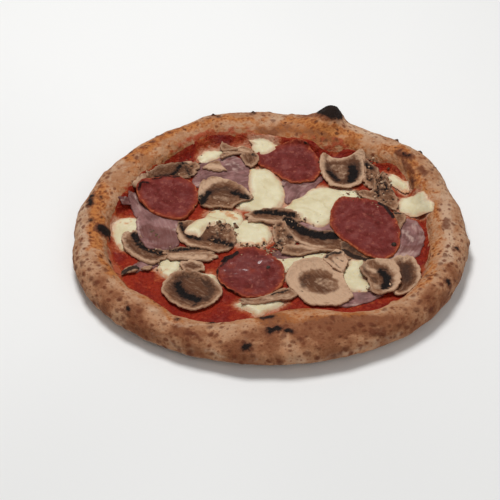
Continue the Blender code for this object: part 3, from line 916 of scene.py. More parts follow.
Kind = namedtuple("Kind", "middle edge dome stiff rounds tear ragged")
SAUCE = Kind(middle=0.9, edge=0.12, dome=5.0, stiff=1, rounds=2, tear=7.0, ragged=1.4)
KINDS = {
    "mozzarella": Kind(middle=2.6, edge=0.25, dome=6.0, stiff=4, rounds=8, tear=7.0, ragged=1.0),
    "ham": Kind(middle=1.3, edge=0.8, dome=1.5, stiff=3, rounds=10, tear=4.0, ragged=0.7),
    "mushroom": Kind(middle=2.0, edge=1.3, dome=1.8, stiff=5, rounds=14, tear=3.0, ragged=0.75),
    "salami": Kind(middle=1.8, edge=1.2, dome=1.6, stiff=9, rounds=30, tear=5.0, ragged=0.7),
}

# The outline of each topping by the pixels at which it is seen, from the bottom up.
# Where another topping hides an edge, the outline runs on below it.
OUTLINES = {
    "ham_right": (
        (404, 219), (414, 220), (421, 227), (425, 237), (423, 247), (418, 256), (408, 260),
        (396, 262), (388, 258), (391, 244), (396, 230),
    ),
    "ham_centre": (
        (279, 180), (290, 183), (303, 181), (316, 174), (323, 178), (314, 189), (302, 198),
        (292, 202), (285, 203), (283, 194),
    ),
    "ham_centre_strip": (
        (297, 222), (310, 223), (324, 222), (334, 226), (335, 233), (320, 235), (306, 232),
    ),
    "ham_front_strip": (
        (272, 252), (284, 249), (302, 251), (318, 254), (315, 260), (300, 263), (285, 262),
        (275, 258),
    ),
    "ham_front_right": (
        (336, 286), (350, 288), (364, 290), (378, 289), (385, 293), (376, 299), (362, 304),
        (350, 307), (340, 306), (337, 296),
    ),
    "ham_left_scrap": (
        (134, 264), (144, 261), (152, 263), (159, 264), (151, 269), (141, 270), (136, 273),
        (132, 270),
    ),
    "ham_back": (
        (199, 164), (207, 160), (216, 159), (225, 154), (232, 154), (241, 158), (248, 163),
        (256, 170), (256, 182), (250, 192), (238, 193), (222, 188), (208, 186), (197, 187),
        (192, 182), (196, 173),
    ),
    "salami_back": (
        (252, 154), (256, 150.5), (262.5, 147), (271, 144.5), (280.5, 142), (290, 141), (300, 141),
        (309, 144), (315, 149), (320, 157), (321, 165), (319, 174), (312, 181), (301, 185),
        (290, 184), (278, 177.5), (266.5, 169.5), (257, 163),
    ),
    "mozzarella_back": (
        (248, 136.5), (256, 135.5), (266, 136), (273, 139), (278, 142), (274, 150), (264, 154),
        (257, 151), (253, 146), (252, 141),
    ),
    "mozzarella_back_left": (
        (197, 156), (201, 152), (208, 149.5), (215, 149), (223, 150.5), (224, 153), (220, 157),
        (213, 160), (205, 161.5), (198, 160),
    ),
    "mozzarella_back_drop": (
        (235, 146), (240, 143.5), (245, 143.5), (248, 147), (244, 149.5), (238, 149),
    ),
    "mozzarella_centre_back": (
        (248, 171), (254, 167), (262, 166.5), (270, 170), (277, 175.5), (282, 183), (285, 193),
        (284, 202), (279, 209), (268, 212), (256, 210.5), (245, 209), (237, 205), (243, 201),
        (250, 197), (249, 186),
    ),
    "mozzarella_centre_right": (
        (281, 209.5), (287, 205), (292, 200.5), (302, 195.5), (310, 189.5), (320, 185.5),
        (332, 187), (345, 189), (356, 190), (361, 198), (352, 207), (340, 214), (331, 222),
        (322, 226), (311, 225.5), (302, 219), (293, 213),
    ),
    "mozzarella_right_strip": (
        (379, 176), (386, 172.5), (394, 172.5), (402, 176), (408, 182), (411, 188), (408, 191.5),
        (401, 189), (394, 184.5), (386, 180.5),
    ),
    "mozzarella_right": (
        (397, 205), (400, 197), (408, 191.5), (416, 190.5), (423, 193.5), (429, 200), (433.5, 208),
        (432, 214), (425, 215), (416, 214.5), (408, 214), (400, 211),
    ),
    "mozzarella_left": (
        (112, 229), (115.5, 222), (121, 218), (130, 216), (139, 219), (143, 230), (140, 240),
        (130, 247), (121, 249), (116, 244), (113, 236),
    ),
    "mozzarella_centre": (
        (230, 228), (234, 220), (246, 218), (258, 219), (267, 223), (272, 230), (272, 238),
        (266, 242), (257, 246.5), (247, 245.5), (238, 242), (231, 237),
    ),
    "mozzarella_browned": (
        (205, 214), (213, 209.5), (225, 208.5), (235, 209.5), (241, 213), (242, 221), (236, 227),
        (227, 226), (216, 221), (206, 218),
    ),
    "mozzarella_front_left": (
        (157, 267), (158, 260), (163, 256.5), (170, 255.5), (179, 257), (184, 262), (181, 269),
        (176, 275), (171, 279), (164, 276), (159, 272),
    ),
    "mozzarella_front_strip": (
        (180, 267), (190, 268.5), (200, 271), (210, 272.5), (217, 274), (221, 283), (217, 286),
        (206, 281), (195, 277), (185, 274),
    ),
    "mozzarella_centre_front": (
        (270, 257), (280, 258), (290, 257), (300, 256), (312, 253), (324, 250), (337, 252),
        (334, 259), (320, 262), (306, 263), (297, 268), (290, 276), (284, 276), (281, 268),
        (275, 262),
    ),
    "mozzarella_front": (
        (236, 303), (245, 300), (258, 299), (271, 298), (281, 299), (284, 302), (277, 307),
        (268, 310.5), (259, 314.5), (250, 311.5), (242, 308),
    ),
    "mushroom_arch": (
        (133.5, 183), (136, 178), (141, 173.5), (148, 168.5), (157, 163.5), (167, 160), (178, 158),
        (188, 159), (195, 162), (199, 166), (198, 173), (194, 181), (190, 178), (182, 178),
        (170, 179), (156, 182), (146, 186), (139, 190), (135, 187),
    ),
    "mushroom_left": (
        (122, 239), (125, 233.5), (131, 231), (137, 231), (142, 238), (150, 245), (160, 249),
        (168, 252), (166, 258), (160, 263), (150, 264), (140, 260), (131, 254), (124, 248),
    ),
    "mushroom_edge_upper": (
        (162, 252), (171, 250), (180, 247), (190, 247), (200, 246.5), (208, 248), (213, 252),
        (206, 255.5), (195, 254.5), (184, 255), (174, 256), (166, 255.5),
    ),
    "mushroom_edge_lower": (
        (165, 257.5), (172, 255.5), (184, 254.5), (196, 253.5), (208, 254.5), (215, 257),
        (211, 261.5), (198, 261), (184, 260.5), (173, 260),
    ),
    "mushroom_long_back": (
        (245, 214), (253, 211), (264, 210), (274, 209), (284, 209.5), (293, 213), (301, 218),
        (300, 222), (290, 222), (280, 224.5), (270, 224), (258, 222), (249, 221.5), (246, 218),
    ),
    "mushroom_long_front": (
        (283, 218), (291, 218), (298, 223), (307, 228), (318, 231), (330, 231), (340, 235),
        (351, 244), (347, 252), (334, 253), (322, 252), (311, 248), (301, 244), (293, 239),
        (287, 231), (283, 224),
    ),
    "mushroom_torn": (
        (273, 226), (278, 221.5), (284, 222), (288, 228), (292, 236), (296, 243), (292, 249),
        (283, 252), (277, 246), (273, 236),
    ),
    "mushroom_thin": (
        (281, 249), (287, 245.5), (296, 244.5), (306, 245.5), (317, 249.5), (320, 252.5),
        (308, 254), (296, 255.5), (286, 254.5),
    ),
    "mushroom_charred": (
        (341, 243), (350, 243), (362, 249), (374, 255), (377, 261), (368, 264.5), (358, 262),
        (349, 260.5), (343, 254),
    ),
    "mushroom_right_chip": (
        (392, 212.5), (399, 213), (405.5, 213.5), (405, 221), (401, 228), (398, 233), (394, 227),
        (391, 219),
    ),
    "mushroom_right_outer": (
        (391, 264), (396, 259), (402, 257), (410, 257), (416, 260.5), (420, 268), (421, 277),
        (418, 286), (410, 292), (401, 294.5), (393, 293.5), (389, 280),
    ),
    "mushroom_front_thin": (
        (239, 299), (250, 299), (262, 297), (271, 294), (279, 290), (287, 288), (293, 291),
        (296, 296), (288, 299.5), (278, 301), (266, 302.5), (254, 303.5), (244, 302.5),
    ),
    "mushroom_curl": (
        (218.5, 157.5), (222, 153), (229, 150), (238, 149), (247, 149.5), (254, 152), (257, 156),
        (248, 155.5), (239, 154), (231, 154.5), (225, 156.5), (221, 158.5),
    ),
    "mushroom_curl_cap": (
        (240, 156), (243, 152), (250, 151.5), (256, 153.5), (259, 157), (257, 163), (252, 168),
        (247, 166), (243, 161),
    ),
    "mushroom_back_chip": (
        (220.5, 141), (222.5, 138), (226, 140.5), (231, 144.5), (237, 148.5), (237, 151),
        (229, 151), (223, 152), (220.5, 147),
    ),
    "mushroom_ham_chip": (
        (203.5, 167.5), (210, 163), (218, 161.5), (222, 165), (226, 170.5), (216, 171), (209, 170),
    ),
    "mushroom_umbrella": (
        (197.5, 194), (199.5, 186), (205, 181), (213.5, 178.5), (223, 179), (233, 182), (243, 187),
        (250, 193), (252.5, 198), (250, 201.5), (243, 203), (237, 205), (231, 209), (221, 208.5),
        (210, 208.5), (201.5, 206.5), (198, 200),
    ),
    "ham_left_fold": (
        (118, 200), (122, 196), (128, 193), (135, 193), (136, 199), (130, 203), (123, 205),
    ),
    "ham_left_strip": (
        (129, 193), (136, 192), (139, 199), (147, 205), (157, 212), (154, 221), (146, 225),
        (138, 220), (133, 211), (130, 202),
    ),
    "ham_left": (
        (136, 224), (139, 215), (148, 209), (158, 212), (169, 218), (179, 221), (183, 230),
        (181, 241), (173, 248), (161, 251), (150, 249), (142, 242), (137, 233),
    ),
    "mushroom_centre_left": (
        (176.5, 230), (178, 223.5), (185, 221), (194, 220.5), (204, 221), (214, 221.5),
        (223, 224.5), (231, 229), (236, 237), (235, 245), (227, 250.5), (215, 251.5), (204, 249),
        (193, 247), (184, 243.5), (178, 237),
    ),
    "mozzarella_centre_left": (
        (184.5, 229.5), (188, 224), (195, 219.5), (203, 217), (211, 215), (219, 217), (224, 220.5),
        (219, 224.5), (211, 224), (205, 229), (200, 234), (193, 233.5), (187, 232),
    ),
    "mozzarella_front_right": (
        (344, 266), (349, 259.5), (357, 258.5), (365, 261), (366, 268), (364, 276), (370, 280),
        (375, 285), (370, 290.5), (360, 291.5), (349, 290.5), (341, 287), (336.5, 281), (338, 275),
    ),
    "mushroom_small_oval": (
        (179, 264), (184, 261), (194, 260.5), (202, 263), (205, 267.5), (200, 272), (191, 272),
        (183, 269),
    ),
    "mushroom_cup": (
        (161.5, 291), (163, 284), (168, 278.5), (175, 273.5), (183, 271.5), (192, 272.5),
        (201, 275.5), (210, 279.5), (218, 285.5), (223, 292), (219, 300), (211, 306), (202, 310),
        (192, 312), (181, 309), (172, 303.5), (165, 297.5),
    ),
    "mushroom_round": (
        (285, 280), (287, 272.5), (292, 266.5), (300, 262), (311, 259.5), (322, 259.5),
        (332, 262.5), (341, 269), (344, 278), (348, 288), (353, 295), (350, 301), (341, 305.5),
        (330, 306.5), (318, 306), (308, 305), (301, 299.5), (296, 293), (289, 288),
    ),
    "mushroom_folded_flap": (
        (323, 259), (328, 254), (335, 251), (342, 252), (346, 257), (348, 263), (346, 269),
        (342, 273), (336, 270), (329, 264),
    ),
    "mushroom_u_slice": (
        (319.5, 160), (319.5, 168), (322, 177), (328, 185), (337, 189), (348, 189), (358, 185.5),
        (365, 178.5), (366.5, 169), (365, 160), (361, 155), (354, 156.5), (346, 158.5), (336, 159),
        (328, 157), (323, 154.5),
    ),
    "mushroom_bit_right": (
        (363, 159), (369, 162), (376, 167), (379, 173), (377, 180), (379, 187), (374, 190),
        (367, 187), (364, 179), (364, 168),
    ),
    "mushroom_crumbled": (
        (377, 175), (381, 172.5), (386, 174), (389, 182), (393, 190), (398, 198), (398, 205),
        (395, 211), (389, 209), (381, 204), (372, 200), (364, 198), (357, 194), (362, 190),
        (371, 190), (376, 184),
    ),
    "mushroom_right_umbrella": (
        (360, 272), (361, 266.5), (367, 262), (377, 259.5), (387, 260), (394.5, 263), (399.5, 269),
        (401, 277), (400.5, 285), (396, 290.5), (388, 293), (379, 295), (371, 292), (369, 286),
        (366, 279),
    ),
    "mushroom_dark_chip": (
        (121.5, 275), (123, 270.5), (128, 267), (134, 265.5), (139, 267), (136, 271), (130, 272.5),
        (125, 274),
    ),
    "mushroom_dark_bit": (
        (141, 269), (145, 266.5), (151, 266), (150, 269), (145, 270),
    ),
    "salami_left": (
        (136.5, 190), (139, 185), (144, 181.5), (152, 178.5), (161, 176), (170, 175), (179, 176),
        (187, 179.5), (193, 184.5), (197, 190), (198.5, 197), (197, 205), (192, 213), (186, 218.5),
        (178, 220.5), (169, 219), (159, 215), (150, 209.5), (143, 203), (138, 197),
    ),
    "salami_right": (
        (346, 197.5), (354, 198), (363, 199.5), (373, 200.5), (381, 203.5), (388, 208.5),
        (394, 216), (398.5, 226), (400.5, 236), (399, 246), (395, 254), (388, 258.5), (379, 259.5),
        (370, 257.5), (360, 252), (350, 246), (341, 239), (334, 231.5), (330.5, 224), (329.5, 215),
        (332, 206.5), (338, 200),
    ),
    "salami_front": (
        (216, 271), (219.5, 264.5), (225, 258.5), (232, 254), (240, 250), (247, 248), (255, 247.5),
        (262, 249.5), (269, 254), (276, 259.5), (281.5, 265), (284.5, 272), (284, 280),
        (280.5, 287), (273, 292.5), (263, 296.5), (252, 298.5), (242, 297), (234, 293),
        (226, 287.5), (219, 280.5),
    ),
}

# Where the sauce meets the rim, by pixels, from the left round the back to the right,
# and its height up the inner wall where the front of the rim hides it.
SAUCE_EDGE = (
    (122, 276), (116, 266), (111, 256), (109, 246), (110, 238), (110, 230), (109, 221), (112, 212),
    (115, 204), (120, 196), (126, 189), (134, 181), (142, 172), (152, 165), (163, 159.5),
    (173, 154.5), (182, 149), (190, 144), (198, 139.5), (207, 136.5), (217, 134.5), (228, 134),
    (240, 133.5), (252, 133), (264, 134), (276, 136), (288, 137.5), (300, 138.5), (311, 140.5),
    (319, 145), (326, 149), (336, 150.5), (347, 149), (357, 150.5), (363, 156), (371, 161),
    (380, 161.5), (388, 161.5), (395, 164.5), (401, 171), (407, 178), (413, 185), (421, 190),
    (428, 196), (432, 204), (431, 212), (427, 220), (427, 229), (430, 238), (431, 246), (429, 255),
    (426, 263), (422, 271),
)
HIDDEN_CLIMB = 6.5

# The bread's rim, in millimetres: the radius and height of its crest, where it starts,
# and the height of its far side where that stands against the background.
RIM_RADIUS = 140.0
RIM_HEIGHT = 22.0
RIM_FROM = 107.0
HORIZON = 15.0

# Crumbled mushroom: the middle of each patch, its width and depth in pixels, how many
# crumbs it has and the half width of the largest in millimetres.
CRUMB_ZONES = (
    ((224, 232), 14, 9, 240, 1.6),
    ((272, 249), 24, 8, 230, 1.6),
    ((282, 236), 10, 14, 120, 1.7),
    ((383, 185), 7, 12, 120, 2.1),
    ((380, 202), 13, 8, 150, 2.0),
    ((358, 195), 14, 6, 60, 1.6),
    ((375, 287), 9, 6, 44, 1.5),
    ((371, 174), 8, 16, 70, 1.8),
    ((170, 250), 26, 5, 60, 1.4),
    ((160, 261), 26, 7, 40, 1.2),
    ((243, 246), 24, 4, 44, 1.4),
    ((222, 206), 28, 5, 50, 1.4),
    ((300, 222), 16, 7, 40, 1.3),
    ((300, 296), 16, 8, 24, 1.0),
    ((195, 168), 14, 12, 36, 1.4),
    ((345, 256), 30, 5, 40, 1.4),
)

# Whole pepper on the salami, and flecks of herb: pixel and size in millimetres.
PEPPERCORNS = (((394, 245), 2.5), ((268.5, 268), 2.2))
HERBS = (
    ((150, 230), 1.8), ((153, 232), 1.5), ((156, 235), 1.7), ((158, 238), 1.4), ((283, 186), 1.0),
    ((227, 160), 1.2), ((230, 157), 1.1), ((351, 217), 0.8),
)


# ------------------------------------------------------------------------- marks

# Strokes by their kind: the half width of each in millimetres, and the pixels it runs
# through.

CRUST_MARKS = {
    # burnt black
    "char": (
        (2.0, (91, 196), (90, 204)), (4.4, (102, 230), (109, 236)), (1.7, (91, 221)),
        (1.2, (101, 197)), (1.8, (110, 262)), (2.1, (128, 309)), (2.2, (212, 323), (217, 322)),
        (1.2, (177, 319)), (3.1, (247, 346)), (2.2, (269, 331), (279, 328)),
        (1.9, (286, 331), (291, 331)), (2.8, (263, 318), (271, 316.5)), (2.5, (448, 282)),
        (1.7, (457, 249)), (8.5, (326, 108), (333, 104), (339, 107)), (5.0, (336, 108), (339, 114)),
        (2.6, (325, 111), (336, 113)), (3.2, (324, 112), (331, 115), (337, 116)),
        (1.1, (404, 155), (409, 156)), (0.9, (400, 152)), (0.8, (413, 181)),
    ),
    # small black blisters that stand up
    "nub": (
        (1.7, (397, 140)), (2.7, (421, 152)), (1.5, (213, 115)), (1.2, (219, 116)),
        (1.2, (253, 113)),
    ),
    # brown blotches
    "dark": (
        (6.5, (102, 230), (109, 237)), (2.0, (120, 298)), (1.5, (140, 310)), (2.4, (101, 256)),
        (2.0, (106, 270)), (2.4, (116, 274)), (1.8, (124, 279)), (1.2, (81, 223)), (1.4, (81, 241)),
        (1.2, (86, 254)), (2.6, (446, 220), (446, 227)), (1.8, (447, 247)), (1.4, (455, 281)),
        (2.4, (372, 333), (384, 331)), (1.6, (403, 324)), (1.6, (415, 324)), (1.8, (340, 354)),
        (1.6, (152, 331)), (2.2, (187, 333), (197, 336)), (1.8, (207, 119)), (1.4, (136, 157)),
        (2.0, (152, 142)), (3.2, (398, 152), (411, 158)), (2.6, (420, 168), (424, 174)),
        (2.6, (408, 166), (412, 172)), (2.2, (415, 181)), (1.2, (427, 171)), (2.0, (361, 325)),
        (1.2, (183, 308)), (1.2, (160, 305)), (3.0, (312, 113), (325, 118)), (2.4, (428, 276)),
        (2.2, (404, 160), (408, 170)), (2.4, (411, 176), (414, 187)),
    ),
    # golden, oiled zones
    "gold": (
        (7.0, (102, 186), (96, 202), (95, 218), (96, 234), (99, 248)),
        (5.0, (102, 256), (106, 264), (112, 271), (120, 278), (132, 285)),
        (3.0, (131, 288), (143, 295), (155, 304), (167, 315), (180, 320)),
        (6.0, (128, 158), (143, 149), (160, 138), (178, 130), (194, 125)),
        (4.6, (206, 121), (235, 119), (262, 121)),
        (6.0, (286, 119), (305, 121), (322, 125), (337, 130), (355, 135)),
        (6.0, (388, 147), (400, 152), (410, 165), (416, 182)),
        (3.6, (426, 182), (431, 193), (435, 205), (437, 215)),
        (3.6, (437, 240), (437, 248), (434, 257), (428, 267)),
        (4.0, (431, 268), (425, 276), (414, 284)), (2.2, (405, 289), (390, 294), (372, 300)),
        (3.0, (421, 286), (431, 276), (435, 266)), (2.2, (384, 303), (402, 298), (416, 290)),
    ),
    # toasted brown, and painted shade on the inner wall at the back
    "toast_and_shade": (
        (8.0, (264, 318), (300, 324)), (4.0, (266, 313), (300, 311), (336, 310)),
        (6.0, (290, 324), (340, 321), (390, 317)), (2.0, (150, 325), (190, 330), (230, 335)),
        (4.0, (400, 155), (425, 160)), (5.0, (300, 112), (318, 118)),
        # these two strokes darken the inner wall at the back: painted shade
        (2.6, (212, 122), (250, 124), (285, 124)),
        (6.5, (262, 129), (292, 131), (325, 136), (352, 142)),
        (14.0, (272, 318), (300, 326), (330, 328), (365, 322)),
    ),
    # floury white
    "flour": (
        (2.2, (330, 122), (338, 123)), (3.5, (348, 126), (366, 133), (386, 143)),
        (0.6, (150, 334), (190, 350), (260, 360)), (2.0, (300, 360), (350, 354), (400, 335)),
        (5.0, (446, 195), (450, 225), (446, 260)), (2.5, (430, 160), (440, 178)),
        (4.0, (84, 200), (80, 225), (84, 250)),
        (1.8, (140, 299), (153, 308), (166, 319), (182, 324), (210, 324), (240, 320)),
        (1.0, (300, 303), (345, 304), (385, 298)), (3.0, (100, 178), (118, 163), (135, 148)),
        (3.0, (268, 119), (277, 121)),
    ),
    # smeared with sauce
    "stain": (
        (3.0, (324, 140), (334, 146), (346, 142)),
        (3.5, (182, 143), (200, 136), (225, 132), (252, 130)), (1.0, (290, 136), (318, 138)),
        (2.0, (324, 142), (335, 137), (346, 141)), (3.0, (322, 152), (340, 155), (356, 153)),
        (1.0, (372, 160), (398, 168)), (2.0, (122, 196), (130, 187)),
        (2.0, (172, 154), (184, 148), (190, 142)), (1.0, (102, 222), (108, 215)),
    ),
}

SAUCE_MARKS = {
    "deep": ((2.4, (119, 211), (122, 211)),),
    "oil": (
        (1.0, (350, 309), (372, 304), (396, 295)), (1.8, (238, 203), (262, 214)),
        (1.6, (228, 248), (240, 246)),
    ),
}

CHEESE_MARKS = {
    "mozzarella_left": {
        "brown": ((1.6, (119.5, 223)), (2.2, (125, 223.5)), (1.9, (130.5, 221.5))),
        "oil": ((1.5, (117, 246), (122, 248)),),
    },
    "mozzarella_browned": {
        "brown": (
            (2.0, (205, 214), (212, 213)), (2.8, (229, 214), (235, 219)), (1.4, (239, 224)),
            (1.2, (220, 212)),
        ),
        "oil": ((2.0, (222, 211), (238, 213)),),
    },
    "mozzarella_front_left": {
        "brown": ((1.0, (160, 271), (168, 270)),),
        "oil": ((1.6, (158, 268), (160, 274), (166, 278)),),
    },
    "mozzarella_right": {
        "brown": ((1.5, (400, 192), (408, 190)),),
        "oil": ((1.0, (430, 210), (431, 216)),),
    },
    "mozzarella_right_strip": {"oil": ((1.5, (402, 193), (408, 190)),)},
    "mozzarella_centre": {
        "seam": ((0.5, (246, 224), (256, 228), (263, 225)),),
        "oil": ((1.8, (240, 243), (256, 245), (264, 240)), (1.2, (233, 226), (238, 220))),
        "brown": ((1.0, (235, 234), (240, 238)),),
    },
    "mozzarella_front": {"oil": ((1.5, (252, 315), (270, 313)),)},
    "mozzarella_centre_right": {
        "oil": ((1.6, (283, 206), (290, 202)),),
        "seam": (
            (0.7, (299, 199), (311, 198), (321, 201), (328, 207)),
            (0.7, (294, 208), (306, 208), (317, 213), (320, 219)),
            (0.5, (334, 190), (343, 195), (345, 202)),
        ),
    },
    "mozzarella_centre_back": {"seam": ((0.5, (262, 184), (268, 190), (266, 199)),)},
}

HAM_MARKS = {
    "ham_left": {
        "herb": ((0.8, (150, 230), (154, 231)), (0.7, (155, 234), (158, 235))),
        "brown": ((2.5, (142, 246), (160, 247), (172, 244)), (9.0, (150, 232), (170, 238))),
        "pale": ((1.5, (137, 220), (139, 235)),),
    },
    "ham_left_fold": {"pale": ((1.0, (120, 201), (127, 196), (134, 196)),)},
    "ham_left_strip": {
        "pale": ((1.0, (122, 196), (132, 192), (136, 200)), (1.0, (137, 200), (140, 210))),
    },
    "ham_back": {
        "pale": ((1.0, (222, 160), (238, 172)), (0.8, (232, 162), (246, 172))),
        "brown": ((0.8, (230, 156), (231, 160)),),
    },
    "ham_right": {
        "pale": ((2.0, (405, 232), (412, 240)),),
        "brown": ((1.2, (417, 226), (420, 240)), (4.0, (404, 250), (416, 248))),
    },
}

# Fold strokes on the salami are painted shade along folds and creases.
SALAMI_MARKS = {
    "salami_left": {
        "burn": (
            (1.2, (138, 191), (140, 186), (143, 183), (148, 184)),
            (0.9, (153, 180.5), (160, 178.8), (168, 177.4), (180, 178.2)),
        ),
        "fold": ((0.8, (165, 192)),),
        # these fat strokes are painted glints
        "fat_and_glint": ((0.8, (168, 217), (169, 215)), (0.8, (172, 217), (174, 216))),
    },
    "salami_back": {
        "burn": ((0.8, (305, 143.5), (312, 148), (317, 156), (318.5, 164)),),
        "fold": ((0.8, (262, 163), (275, 178), (292, 183)),),
    },
    "salami_right": {
        "burn": (
            (1.6, (379, 204.5), (384, 207.5), (389, 212.5), (393, 218)),
            (0.7, (346, 249), (358, 256), (370, 259)),
        ),
        "fold": ((1.0, (362, 211), (372, 217), (379, 224)), (0.7, (384, 225), (388, 228))),
        "shine": ((5.0, (362, 224), (374, 230)),),
    },
    "salami_front": {
        "burn": (
            (0.9, (236, 255), (228, 261), (219, 269), (217, 275), (219, 284)),
            (0.7, (219, 284), (228, 290), (238, 295)), (2.6, (223, 262), (230, 257), (236, 254)),
        ),
        "fold": ((0.8, (250, 297), (266, 295), (276, 290)),),
        # fat specks, and some painted glints
        "fat_and_glint": (
            (1.0, (223, 275)), (0.8, (231, 266)), (0.9, (252, 271)), (0.8, (246, 291), (251, 292)),
        ),
        "shine": ((8.0, (232, 270), (246, 264), (262, 262)), (4.0, (254, 278), (260, 286))),
    },
}

